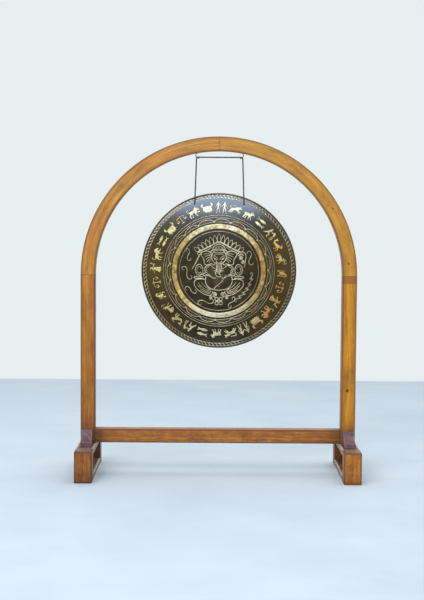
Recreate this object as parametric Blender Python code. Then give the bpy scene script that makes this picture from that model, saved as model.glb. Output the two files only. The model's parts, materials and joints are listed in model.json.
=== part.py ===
"""A tam tam gong in a round-topped wooden stand.

The gong hangs in the two hooked ends of a bent steel rod, and the rod's bar hangs
in two screw hooks under the top of the stand. Metres, +Z up, front towards -Y, with
the origin on the floor under the middle of the stand.
"""

import math

import bmesh
import bpy
from mathutils import Matrix, Vector

# Driving dimensions.
GONG_RADIUS = 0.300
GONG_Z = 0.787
ARCH_RADIUS = 0.531  # outside of the half circle, to the posts' outer faces
TIMBER = 0.055  # the posts and the arch are square timber
SPRING_Z = 0.770  # height at which the posts end and the arch begins
FOOT_LENGTH = 0.440
FOOT_WIDTH = 0.066
FOOT_HEIGHT = 0.1195

GAP = 0.0003  # between pieces that touch
ARCH_STEPS = 24
EASED = 0.002  # the timber's worked-off edges

# Feet.
BLOCK_LENGTH = 0.065
TOP_BOARD = 0.022
BOTTOM_BOARD = 0.023
BOTTOM_BOARD_Z = 0.001  # the board clears the floor, so each foot stands on its blocks

# Corbels, which brace a post on its foot.
CORBEL_WIDTH = 0.042
CORBEL_HEIGHT = 0.054
CORBEL_LENGTH = 0.091
CORBEL_LEDGE = 0.036
CORBEL_TOE = 0.017
CORBEL_STEPS = 8

# Stretcher rail and its tenons.
RAIL_Z = 0.120
RAIL_HEIGHT = 0.053
RAIL_DEPTH = 0.050
TENON_LENGTH = 0.020
TENON_HEIGHT = 0.034
TENON_DEPTH = 0.018

# Dowels and screws.
DOWEL_RADIUS = 0.005
DOWEL_LENGTH = 0.050
DOWEL_SPREAD = 0.012  # of the arch joints' paired dowels, to either side of the timber's middle
FOOT_DOWEL_RADIUS = 0.004
FOOT_DOWEL_LENGTH = 0.040
COACH_RADIUS = 0.0035
COACH_LENGTH = 0.072
COACH_HEAD_RADIUS = 0.0065
COACH_HEAD_HEIGHT = 0.005
COACH_SPREAD = 0.014
WASHER_RADIUS = 0.009
WASHER_THICKNESS = 0.0015
SCREW_RADIUS = 0.002
SCREW_LENGTH = 0.045
SCREW_HEAD_RADIUS = 0.004
SCREW_HEAD_HEIGHT = 0.0025
SCREW_FROM_POST = 0.015
HOLE_END = 0.001  # a blind hole is this much deeper than what it holds

# Gong.
GONG_DEPTH = 0.026
GONG_WALL = 0.002
GONG_RISE = 0.0065  # how far the middle of the face stands proud of its edge
GONG_EDGE_RADIUS = 0.012  # of the bend from face to rim
GONG_LIP_RADIUS = 0.297
GONG_HOLE_RADIUS = 0.0045
GONG_HOLE_X = 0.0948
GONG_HOLE_Z = 0.2506  # above the gong's centre
GONG_STEPS = 72

# Hanger rod.
ROD_RADIUS = 0.0025
BAR_Z = 1.2227
BAR_HALF = 0.0885  # to the legs' middle lines
BAR_BEND = 0.006
LEG_FORWARD = 0.0085  # how far the legs' lower ends stand in front of the gong's wall
TIP_BEND = 0.005
TIP_HEIGHT = 0.013
PIN_REST = 0.0005  # running clearance between the rod and the top of the gong's hole

# Screw hooks.
HOOK_RADIUS = 0.00175
HOOK_SHANK = 0.020

POST_X = ARCH_RADIUS - TIMBER / 2
PIN_Z = GONG_Z + GONG_HOLE_Z + GONG_HOLE_RADIUS - ROD_RADIUS - PIN_REST

MATERIALS = {
    "wood": ((0.40, 0.19, 0.055), 0.45, 0.0),
    "dark_wood": ((0.12, 0.05, 0.03), 0.40, 0.0),
    "dowel_wood": ((0.55, 0.36, 0.18), 0.60, 0.0),
    "steel": ((0.10, 0.10, 0.10), 0.40, 1.0),
    "bright_steel": ((0.55, 0.55, 0.56), 0.35, 1.0),
    "bronze": ((0.22, 0.17, 0.09), 0.35, 1.0),
}


def clear_scene():
    for obj in list(bpy.data.objects):
        bpy.data.objects.remove(obj)


def material(name):
    """The named finish, made on first use."""
    found = bpy.data.materials.get(name)
    if found:
        return found
    colour, roughness, metallic = MATERIALS[name]
    made = bpy.data.materials.new(name)
    made.use_nodes = True
    shader = made.node_tree.nodes["Principled BSDF"]
    shader.inputs["Base Color"].default_value = (*colour, 1.0)
    shader.inputs["Roughness"].default_value = roughness
    shader.inputs["Metallic"].default_value = metallic
    made.diffuse_color = (*colour, 1.0)
    return made


def place(name, data, finish, location=(0.0, 0.0, 0.0), parent=None):
    obj = bpy.data.objects.new(name, data)
    bpy.context.scene.collection.objects.link(obj)
    obj.location = location
    obj.parent = parent
    data.materials.append(material(finish))
    return obj


def empty(name, location=(0.0, 0.0, 0.0)):
    obj = bpy.data.objects.new(name, None)
    bpy.context.scene.collection.objects.link(obj)
    obj.location = location
    return obj


def mesh_from(bm, name):
    bmesh.ops.recalc_face_normals(bm, faces=bm.faces)
    mesh = bpy.data.meshes.new(name)
    bm.to_mesh(mesh)
    bm.free()
    return mesh


def add_box(bm, size, centre=(0.0, 0.0, 0.0)):
    matrix = Matrix.Translation(centre) @ Matrix.Diagonal((*size, 1.0))
    bmesh.ops.create_cube(bm, size=1.0, matrix=matrix)


def add_cylinder(bm, start, end, radius, sides=16):
    """A closed cylinder from start to end."""
    start, end = Vector(start), Vector(end)
    turn = (end - start).to_track_quat("Z", "Y").to_matrix().to_4x4()
    bmesh.ops.create_cone(
        bm,
        cap_ends=True,
        segments=sides,
        radius1=radius,
        radius2=radius,
        depth=(end - start).length,
        matrix=Matrix.Translation((start + end) / 2) @ turn,
    )


def ease_edges(obj, width=EASED):
    bevel = obj.modifiers.new("eased_edges", "BEVEL")
    bevel.width = width
    bevel.limit_method = "ANGLE"
    bevel.angle_limit = math.radians(40)


def smooth(mesh, angle=35):
    mesh.shade_smooth()
    mesh.set_sharp_from_angle(angle=math.radians(angle))


def combine(obj, bm, operation):
    """Adds or takes away the closed shapes in bm, which are in world space."""
    name = f"{obj.name}_{operation.lower()}"
    helper = bpy.data.objects.new(name, mesh_from(bm, name))
    bpy.context.scene.collection.objects.link(helper)
    helper.hide_render = True
    helper.display_type = "WIRE"
    boolean = obj.modifiers.new(operation.lower(), "BOOLEAN")
    boolean.operation = operation
    boolean.solver = "EXACT"
    boolean.object = helper


def drill(obj, holes):
    """holes are (start, end, radius) of the pins that go in, in world space."""
    bm = bmesh.new()
    for start, end, radius in holes:
        start, end = Vector(start), Vector(end)
        past = (end - start).normalized() * HOLE_END
        add_cylinder(bm, start - past, end + past, radius + GAP)
    combine(obj, bm, "DIFFERENCE")


def board(name, finish, size, centre, parent, holes=()):
    bm = bmesh.new()
    add_box(bm, size)
    obj = place(name, mesh_from(bm, name), finish, centre, parent)
    ease_edges(obj)
    if holes:
        drill(obj, holes)
    return obj


def dowel(name, start, end, radius, parent):
    bm = bmesh.new()
    middle = (Vector(start) + Vector(end)) / 2
    add_cylinder(bm, Vector(start) - middle, Vector(end) - middle, radius, 12)
    mesh = mesh_from(bm, name)
    smooth(mesh)
    return place(name, mesh, "dowel_wood", middle, parent)


def headed_screw(name, tip, length, radius, head_radius, head_height, head_sides, parent):
    """A screw that points up: its tip is its highest point, and its head is below."""
    bm = bmesh.new()
    outline = (
        (0.0, 0.0),
        (radius, -radius),
        (radius, -length),
        (head_radius, -length),
        (head_radius, -length - head_height),
        (0.0, -length - head_height),
    )
    spin_outline(bm, outline, (0.0, 0.0, 1.0), head_sides)
    mesh = mesh_from(bm, name)
    smooth(mesh)
    return place(name, mesh, "bright_steel", tip, parent)


def spin_outline(bm, outline, axis, steps):
    """Turns an outline of (radius, height) once round the axis, which is Y or Z."""
    axis = Vector(axis)
    out = Vector((1.0, 0.0, 0.0))
    points = [bm.verts.new(out * radius + axis * height) for radius, height in outline]
    edges = [bm.edges.new(pair) for pair in zip(points, points[1:])]
    if outline[0][0] > 0.0:
        edges.append(bm.edges.new((points[-1], points[0])))
    bmesh.ops.spin(
        bm,
        geom=points + edges,
        axis=axis,
        cent=(0.0, 0.0, 0.0),
        steps=steps,
        angle=2 * math.pi,
        use_merge=True,
    )
    bmesh.ops.remove_doubles(bm, verts=bm.verts, dist=1e-6)


# Places that several pieces share.


def arch_dowels():
    """(name, start, end) of the dowels in the crown and in the two springing joints."""
    half = DOWEL_LENGTH / 2
    middle_z = SPRING_Z + ARCH_RADIUS - TIMBER / 2
    found = []
    for level, offset in (("upper", DOWEL_SPREAD), ("lower", -DOWEL_SPREAD)):
        z = middle_z + offset
        found.append((f"crown_dowel_{level}", (-half, 0.0, z), (half, 0.0, z)))
    for side, sign in SIDES:
        for face, offset in (("front", -DOWEL_SPREAD), ("rear", DOWEL_SPREAD)):
            x = sign * POST_X
            ends = (x, offset, SPRING_Z - half), (x, offset, SPRING_Z + half)
            found.append((f"springing_dowel_{side}_{face}", *ends))
    return found


def foot_dowels(sign):
    """(level, end, start, end) of the dowels that join a foot's boards to its blocks."""
    joint_y = FOOT_LENGTH / 2 - BLOCK_LENGTH
    half = FOOT_DOWEL_LENGTH / 2
    levels = (
        ("top", FOOT_HEIGHT - TOP_BOARD / 2),
        ("bottom", BOTTOM_BOARD_Z + BOTTOM_BOARD / 2),
    )
    found = []
    for level, z in levels:
        for face, way in FACES:
            x = sign * POST_X
            ends = (x, way * (joint_y - half), z), (x, way * (joint_y + half), z)
            found.append((level, face, *ends))
    return found


def coach_screws(sign):
    """(face, head end, tip) of the screws that hold a post down on its foot."""
    z = FOOT_HEIGHT - TOP_BOARD - WASHER_THICKNESS - 2 * GAP
    x = sign * POST_X
    return [
        (face, (x, way * COACH_SPREAD, z), (x, way * COACH_SPREAD, z + COACH_LENGTH))
        for face, way in FACES
    ]


def corbel_screws(sign):
    """(face, head end, tip) of the screws that hold the corbels down on a foot."""
    z = FOOT_HEIGHT - TOP_BOARD - GAP
    y = TIMBER / 2 + SCREW_FROM_POST
    x = sign * POST_X
    return [(face, (x, way * y, z), (x, way * y, z + SCREW_LENGTH)) for face, way in FACES]


def hook_route(sign):
    """Points of a hook's middle line, from the end of its shank to its tip.

    The wire leaves the arch over the bar's corner, bulges outwards past it, goes down
    behind the bar, under it just inside the leg, and up again in front.
    """
    rest = ROD_RADIUS + HOOK_RADIUS + GAP
    turn = (
        (0.0885, 0.0, underside_z(0.0885) - BAR_Z + HOOK_SHANK),
        (0.0885, 0.0, underside_z(0.0885) - BAR_Z),
        (0.0895, 0.0006, 0.0120),
        (0.0917, 0.0022, 0.0080),
        (0.0913, 0.0046, 0.0040),
        (0.0880, 0.0060, 0.0004),
        (0.0840, 0.0048, -0.0029),
        (0.0805, 0.0006, -rest),
        (0.0783, -0.0040, -0.0031),
        (0.0770, -0.0060, 0.0005),
        (0.0766, -0.0058, 0.0045),
    )
    return [Vector((sign * x, y, BAR_Z + z)) for x, y, z in turn]


def underside_z(x):
    """Height of the arch's underside at a distance x from the middle."""
    return SPRING_Z + math.sqrt((ARCH_RADIUS - TIMBER) ** 2 - x**2)


SIDES = (("left", -1), ("right", 1))
FACES = (("front", -1), ("rear", 1))


# Stand.


def make_arch_half(side, sign, parent):
    """A quarter ring of square timber, from the post to the crown."""
    end = GAP / 2 / ARCH_RADIUS
    section = [
        (ARCH_RADIUS - TIMBER, -TIMBER / 2),
        (ARCH_RADIUS, -TIMBER / 2),
        (ARCH_RADIUS, TIMBER / 2),
        (ARCH_RADIUS - TIMBER, TIMBER / 2),
    ]
    bm = bmesh.new()
    rings = []
    for i in range(ARCH_STEPS + 1):
        angle = end + (math.pi / 2 - 2 * end) * i / ARCH_STEPS
        across, up = sign * math.cos(angle), math.sin(angle)
        rings.append([bm.verts.new((r * across, y, r * up)) for r, y in section])
    for low, high in zip(rings, rings[1:]):
        for j in range(4):
            k = (j + 1) % 4
            bm.faces.new((low[j], low[k], high[k], high[j]))
    bm.faces.new(rings[0])
    bm.faces.new(rings[-1])
    obj = place(f"arch_{side}", mesh_from(bm, f"arch_{side}"), "wood", (0, 0, SPRING_Z), parent)
    ease_edges(obj)
    holes = [
        (a, b, DOWEL_RADIUS)
        for name, a, b in arch_dowels()
        if "crown" in name or side in name
    ]
    shank_top, shank_end = hook_route(sign)[:2]
    below = shank_end - Vector((0.0, 0.0, TIMBER / 4))
    holes.append((below, shank_top, HOOK_RADIUS))
    drill(obj, holes)


def make_post(side, sign, parent):
    low = FOOT_HEIGHT + GAP
    high = SPRING_Z - GAP / 2
    size = (TIMBER, TIMBER, high - low)
    centre = (sign * POST_X, 0.0, (low + high) / 2)
    holes = [(a, b, DOWEL_RADIUS) for name, a, b in arch_dowels() if side in name]
    holes += [(a, b, COACH_RADIUS) for _, a, b in coach_screws(sign)]
    post = board(f"post_{side}", "wood", size, centre, parent, holes)
    inner = sign * (POST_X - TIMBER / 2)
    mortise = bmesh.new()
    depth = TENON_LENGTH + HOLE_END
    add_box(
        mortise,
        (2 * depth, TENON_DEPTH + 2 * GAP, TENON_HEIGHT + 2 * GAP),
        (inner, 0.0, RAIL_Z + RAIL_HEIGHT / 2),
    )
    combine(post, mortise, "DIFFERENCE")


def make_rail(parent):
    """The stretcher between the posts, with a stub tenon at each end."""
    shoulder = POST_X - TIMBER / 2 - GAP
    centre = (0.0, 0.0, RAIL_Z + RAIL_HEIGHT / 2)
    size = (2 * shoulder, RAIL_DEPTH, RAIL_HEIGHT)
    rail = board("stretcher_rail", "wood", size, centre, parent)
    tenons = bmesh.new()
    add_box(tenons, (2 * (shoulder + TENON_LENGTH), TENON_DEPTH, TENON_HEIGHT), centre)
    combine(rail, tenons, "UNION")


def make_foot(side, sign, parent):
    dowels = foot_dowels(sign)
    block_size = (FOOT_WIDTH, BLOCK_LENGTH, FOOT_HEIGHT)
    for face, way in FACES:
        centre = (sign * POST_X, way * (FOOT_LENGTH - BLOCK_LENGTH) / 2, FOOT_HEIGHT / 2)
        holes = [(a, b, FOOT_DOWEL_RADIUS) for _, end, a, b in dowels if end == face]
        board(f"foot_{side}_{face}_block", "wood", block_size, centre, parent, holes)
    length = FOOT_LENGTH - 2 * BLOCK_LENGTH - 2 * GAP
    boards = (
        ("top", TOP_BOARD, FOOT_HEIGHT - TOP_BOARD / 2),
        ("bottom", BOTTOM_BOARD, BOTTOM_BOARD_Z + BOTTOM_BOARD / 2),
    )
    for level, thickness, z in boards:
        holes = [(a, b, FOOT_DOWEL_RADIUS) for name, _, a, b in dowels if name == level]
        if level == "top":
            holes += [(a, b, COACH_RADIUS) for _, a, b in coach_screws(sign)]
            holes += [(a, b, SCREW_RADIUS) for _, a, b in corbel_screws(sign)]
        size = (FOOT_WIDTH, length, thickness)
        board(f"foot_{side}_{level}_board", "wood", size, (sign * POST_X, 0.0, z), parent, holes)


def make_corbel(side, sign, face, way, parent):
    """A block with a ledge, a hollow sweep down from it and a small upright toe."""
    reach = CORBEL_LENGTH - CORBEL_LEDGE
    drop = CORBEL_HEIGHT - CORBEL_TOE
    outline = [(0.0, 0.0), (0.0, CORBEL_HEIGHT)]
    for i in range(CORBEL_STEPS + 1):
        angle = math.pi / 2 * i / CORBEL_STEPS
        y = CORBEL_LENGTH - reach * math.cos(angle)
        outline.append((y, CORBEL_HEIGHT - drop * math.sin(angle)))
    outline.append((CORBEL_LENGTH, 0.0))
    bm = bmesh.new()
    side_face = bm.faces.new(
        [bm.verts.new((-CORBEL_WIDTH / 2, way * y, z)) for y, z in outline]
    )
    grown = bmesh.ops.extrude_face_region(bm, geom=[side_face])
    moved = [item for item in grown["geom"] if isinstance(item, bmesh.types.BMVert)]
    bmesh.ops.translate(bm, verts=moved, vec=(CORBEL_WIDTH, 0.0, 0.0))
    name = f"corbel_{side}_{face}"
    mesh = mesh_from(bm, name)
    location = (sign * POST_X, way * (TIMBER / 2 + GAP), FOOT_HEIGHT + GAP)
    obj = place(name, mesh, "dark_wood", location, parent)
    ease_edges(obj, EASED / 2)
    drill(obj, [(a, b, SCREW_RADIUS) for end, a, b in corbel_screws(sign) if end == face])


def make_dowels(parent):
    for name, start, end in arch_dowels():
        dowel(name, start, end, DOWEL_RADIUS, parent)
    for side, sign in SIDES:
        for level, face, start, end in foot_dowels(sign):
            name = f"foot_dowel_{side}_{face}_{level}"
            dowel(name, start, end, FOOT_DOWEL_RADIUS, parent)


def make_washer(name, centre, parent):
    inner = COACH_RADIUS + GAP
    outline = (
        (inner, -WASHER_THICKNESS / 2),
        (WASHER_RADIUS, -WASHER_THICKNESS / 2),
        (WASHER_RADIUS, WASHER_THICKNESS / 2),
        (inner, WASHER_THICKNESS / 2),
    )
    bm = bmesh.new()
    spin_outline(bm, outline, (0.0, 0.0, 1.0), 12)
    mesh = mesh_from(bm, name)
    smooth(mesh)
    place(name, mesh, "bright_steel", centre, parent)


def make_screws(parent):
    for side, sign in SIDES:
        for face, head, tip in coach_screws(sign):
            name = f"post_screw_{side}_{face}"
            sizes = COACH_LENGTH, COACH_RADIUS, COACH_HEAD_RADIUS, COACH_HEAD_HEIGHT
            headed_screw(name, tip, *sizes, 12, parent)
            centre = Vector(head) + Vector((0.0, 0.0, GAP + WASHER_THICKNESS / 2))
            make_washer(f"post_washer_{side}_{face}", centre, parent)
        for face, _, tip in corbel_screws(sign):
            name = f"corbel_screw_{side}_{face}"
            sizes = SCREW_LENGTH, SCREW_RADIUS, SCREW_HEAD_RADIUS, SCREW_HEAD_HEIGHT
            headed_screw(name, tip, *sizes, 12, parent)


# Wire and rod.


def rounded_route(corners, bends, steps=5):
    """The corners' polyline, with each inner corner rounded to its bend radius."""
    points = [Vector(corners[0])]
    for before, corner, after, radius in zip(corners, corners[1:], corners[2:], bends):
        corner = Vector(corner)
        back = (Vector(before) - corner).normalized()
        ahead = (Vector(after) - corner).normalized()
        half = back.angle(ahead) / 2
        middle = (back + ahead).normalized()
        centre = corner + middle * radius / math.sin(half)
        first = (corner + back * radius / math.tan(half) - centre).normalized()
        last = (corner + ahead * radius / math.tan(half) - centre).normalized()
        for i in range(steps + 1):
            points.append(centre + radius * first.slerp(last, i / steps))
    points.append(Vector(corners[-1]))
    return points


def smooth_route(points, steps=3):
    """Points on a smooth curve through the given ones."""
    ends = [2 * points[0] - points[1], *points, 2 * points[-1] - points[-2]]
    route = []
    for a, b, c, d in zip(ends, ends[1:], ends[2:], ends[3:]):
        for i in range(steps):
            t = i / steps
            bend = (2 * a - 5 * b + 4 * c - d) * t**2 + (3 * b - a - 3 * c + d) * t**3
            route.append(b + ((c - a) * t + bend) / 2)
    route.append(points[-1])
    return route


def make_rod(name, points, radius, finish, origin, parent=None):
    """Round bar along the points, which are in world space."""
    curve = bpy.data.curves.new(name, "CURVE")
    curve.dimensions = "3D"
    curve.bevel_depth = radius
    curve.bevel_resolution = 2
    curve.use_fill_caps = True
    spline = curve.splines.new("POLY")
    spline.points.add(len(points) - 1)
    for target, point in zip(spline.points, points):
        target.co = (*(point - Vector(origin)), 1.0)
    return place(name, curve, finish, origin, parent)


def make_hook(side, sign, parent):
    route = smooth_route(hook_route(sign))
    make_rod(f"hook_{side}", route, HOOK_RADIUS, "bright_steel", (0.0, 0.0, BAR_Z), parent)


def make_hanger():
    """The bent rod: a bar across, two legs, and hooked ends that reach through the gong."""
    half = []
    for sign in (-1, 1):
        x = sign * GONG_HOLE_X
        half.append(
            [
                (x, LEG_FORWARD, PIN_Z + TIP_HEIGHT),
                (x, LEG_FORWARD, PIN_Z),
                (x, -LEG_FORWARD, PIN_Z),
                (sign * BAR_HALF, 0.0, BAR_Z),
            ]
        )
    corners = half[0] + half[1][::-1]
    bends = (TIP_BEND, TIP_BEND, BAR_BEND, BAR_BEND, TIP_BEND, TIP_BEND)
    points = rounded_route(corners, bends)
    return make_rod("hanger_rod", points, ROD_RADIUS, "steel", (0.0, 0.0, BAR_Z))


# Gong.


def face_y(radius, edge):
    """How far the gong's face lies from the plane of its edge; the front is negative."""
    return -GONG_RISE * (1 - (radius / edge) ** 2)


def gong_outline():
    """(radius, depth) of the wall's section, from the front centre round to the back one."""
    edge = GONG_RADIUS - GONG_EDGE_RADIUS
    face = [i * edge / 4 for i in range(5)]
    outer = [(r, face_y(r, edge)) for r in face]
    inner = [(r, face_y(r, edge) + GONG_WALL) for r in face]
    for i in range(1, 5):
        angle = math.pi / 2 * i / 4
        across, along = math.sin(angle), 1 - math.cos(angle)
        outer.append((edge + GONG_EDGE_RADIUS * across, GONG_EDGE_RADIUS * along))
        bend = GONG_EDGE_RADIUS - GONG_WALL
        inner.append((edge + bend * across, GONG_WALL + bend * along))
    outer.append((GONG_LIP_RADIUS, GONG_DEPTH))
    inner.append((GONG_LIP_RADIUS - GONG_WALL, GONG_DEPTH))
    return outer + inner[::-1]


def make_gong(hanger):
    """The gong's origin is on the rod through its holes, in the middle of its wall."""
    hole_radius = math.hypot(GONG_HOLE_X, GONG_HOLE_Z)
    wall_y = face_y(hole_radius, GONG_RADIUS - GONG_EDGE_RADIUS) + GONG_WALL / 2
    bm = bmesh.new()
    spin_outline(bm, gong_outline(), (0.0, 1.0, 0.0), GONG_STEPS)
    bmesh.ops.translate(bm, verts=bm.verts, vec=(0.0, -wall_y, GONG_Z - PIN_Z))
    mesh = mesh_from(bm, "gong")
    smooth(mesh)
    gong = place("gong", mesh, "bronze", (0.0, 0.0, PIN_Z - BAR_Z), hanger)
    holes = []
    for sign in (-1, 1):
        x, z = sign * GONG_HOLE_X, GONG_Z + GONG_HOLE_Z
        depth = 3 * GONG_WALL
        holes.append(((x, -depth, z), (x, depth, z), GONG_HOLE_RADIUS - GAP))
    drill(gong, holes)


def build():
    clear_scene()
    stand = empty("stand")
    for side, sign in SIDES:
        make_arch_half(side, sign, stand)
        make_post(side, sign, stand)
        make_foot(side, sign, stand)
        for face, way in FACES:
            make_corbel(side, sign, face, way, stand)
        make_hook(side, sign, stand)
    make_rail(stand)
    make_dowels(stand)
    make_screws(stand)
    make_gong(make_hanger())


build()
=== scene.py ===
"""The looks of a tam tam gong on its round-topped stand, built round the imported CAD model.

Metres, +Z up, front towards -Y. The timber, the metalwork and the gong are each rebuilt
as fine meshes at the places that the frame gives, with procedural materials.
"""

import json
import math

import bmesh
import bpy
import numpy as np
from mathutils import Matrix, Vector

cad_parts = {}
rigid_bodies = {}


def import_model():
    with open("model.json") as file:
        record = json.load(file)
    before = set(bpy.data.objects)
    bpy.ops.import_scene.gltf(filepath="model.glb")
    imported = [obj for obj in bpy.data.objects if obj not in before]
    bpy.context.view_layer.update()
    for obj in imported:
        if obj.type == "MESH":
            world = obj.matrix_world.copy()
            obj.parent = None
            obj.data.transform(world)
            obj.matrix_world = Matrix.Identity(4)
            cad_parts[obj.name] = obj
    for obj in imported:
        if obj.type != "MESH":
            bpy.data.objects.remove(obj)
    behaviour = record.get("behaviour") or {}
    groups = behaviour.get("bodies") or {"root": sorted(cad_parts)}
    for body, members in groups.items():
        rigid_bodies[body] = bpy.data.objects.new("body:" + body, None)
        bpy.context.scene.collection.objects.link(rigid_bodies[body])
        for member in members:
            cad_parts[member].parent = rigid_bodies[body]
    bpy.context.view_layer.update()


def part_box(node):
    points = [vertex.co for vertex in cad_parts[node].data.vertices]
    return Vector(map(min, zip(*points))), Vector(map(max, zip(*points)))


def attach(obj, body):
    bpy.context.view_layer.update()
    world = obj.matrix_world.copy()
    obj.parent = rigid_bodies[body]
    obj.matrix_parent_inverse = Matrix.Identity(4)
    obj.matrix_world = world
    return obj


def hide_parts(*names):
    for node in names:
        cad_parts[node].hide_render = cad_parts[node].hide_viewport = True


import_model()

SIDES = (("left", -1), ("right", 1))
FACES = (("front", -1), ("rear", 1))
MM = 0.001


# Nodes of a material.


def tinted(colour, *tint):
    """A colour times a grey, or times another colour."""
    return tuple(c * k for c, k in zip(colour, tint * 3 if len(tint) == 1 else tint))


class Look:
    """A Principled material, or another owner of nodes, and short ways to add nodes to it."""

    def __init__(self, name, owner=None, end="Principled BSDF", **constants):
        self.material = owner or bpy.data.materials.new(name)
        self.material.use_nodes = True
        self.tree = self.material.node_tree
        self.shader = self.tree.nodes[end]
        for socket, value in constants.items():
            self.shader.inputs[socket.replace("_", " ")].default_value = value

    def add(self, kind, inputs=(), output=0, **settings):
        """A new node with its inputs linked or set, by place or by name. Gives one of its outputs."""
        made = self.tree.nodes.new("ShaderNode" + kind)
        for setting, value in settings.items():
            setattr(made, setting, value)
        pairs = inputs.items() if isinstance(inputs, dict) else enumerate(inputs)
        for socket, value in pairs:
            if isinstance(value, bpy.types.NodeSocket):
                self.tree.links.new(value, made.inputs[socket])
            else:
                made.inputs[socket].default_value = value
        return made.outputs[output]

    def maths(self, operation, a, b=0.0):
        return self.add("Math", (a, b), operation=operation)

    def plus(self, a, b):
        return self.maths("ADD", a, b)

    def times(self, a, b):
        return self.maths("MULTIPLY", a, b)

    def total(self, first, *others):
        """The sum of (value, weight) pairs."""
        result = self.times(*first)
        for other in others:
            result = self.plus(result, self.times(*other))
        return result

    def vector(self, operation, *values):
        output = "Value" if operation in ("LENGTH", "DISTANCE") else 0
        return self.add("VectorMath", values, output, operation=operation)

    def axis(self, vector, number):
        return self.add("SeparateXYZ", (vector,), number)

    def place(self):
        return self.add("TexCoord", output="Object")

    def attribute(self, name, output="Vector"):
        return self.add("Attribute", output=output, attribute_name=name)

    def noise(self, vector, stretch, detail=2.0, rough=0.5, seed=0.0):
        """Noise of about unit scale after the vector is stretched, evenly or by axis."""
        moved = self.vector("ADD", vector, (seed, seed * 0.7, seed * 1.3))
        scaled = self.vector("MULTIPLY", moved, stretch if isinstance(stretch, tuple) else (stretch,) * 3)
        values = {"Vector": scaled, "Scale": 1.0, "Detail": detail, "Roughness": rough}
        return self.add("TexNoise", values, noise_dimensions="3D")

    def rings(self, value, detail):
        """Noise that follows one value only."""
        return self.add("TexNoise", {"W": value, "Detail": detail, "Scale": 1.0}, noise_dimensions="1D")

    def ramp(self, value, *stops):
        """stops are (place, colour or grey)."""
        made = self.tree.nodes.new("ShaderNodeValToRGB")
        elements = made.color_ramp.elements
        while len(elements) < len(stops):
            elements.new(0.5)
        for element, (place, colour) in zip(elements, stops):
            element.position = place
            element.color = (*(colour if isinstance(colour, tuple) else (colour,) * 3), 1.0)
        self.tree.links.new(value, made.inputs[0])
        return made.outputs[0]

    def mix(self, share, a, b, blend="MIX"):
        a, b = ((*colour, 1.0) if isinstance(colour, tuple) else colour for colour in (a, b))
        return self.add("Mix", {0: share, 6: a, 7: b}, 2, data_type="RGBA", blend_type=blend)

    def drive(self, **sockets):
        for socket, value in sockets.items():
            self.tree.links.new(value, self.shader.inputs[socket.replace("_", " ")])

    def bump(self, height, strength, distance):
        values = {"Height": height, "Strength": strength, "Distance": distance}
        self.drive(Normal=self.add("Bump", values))


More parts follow.
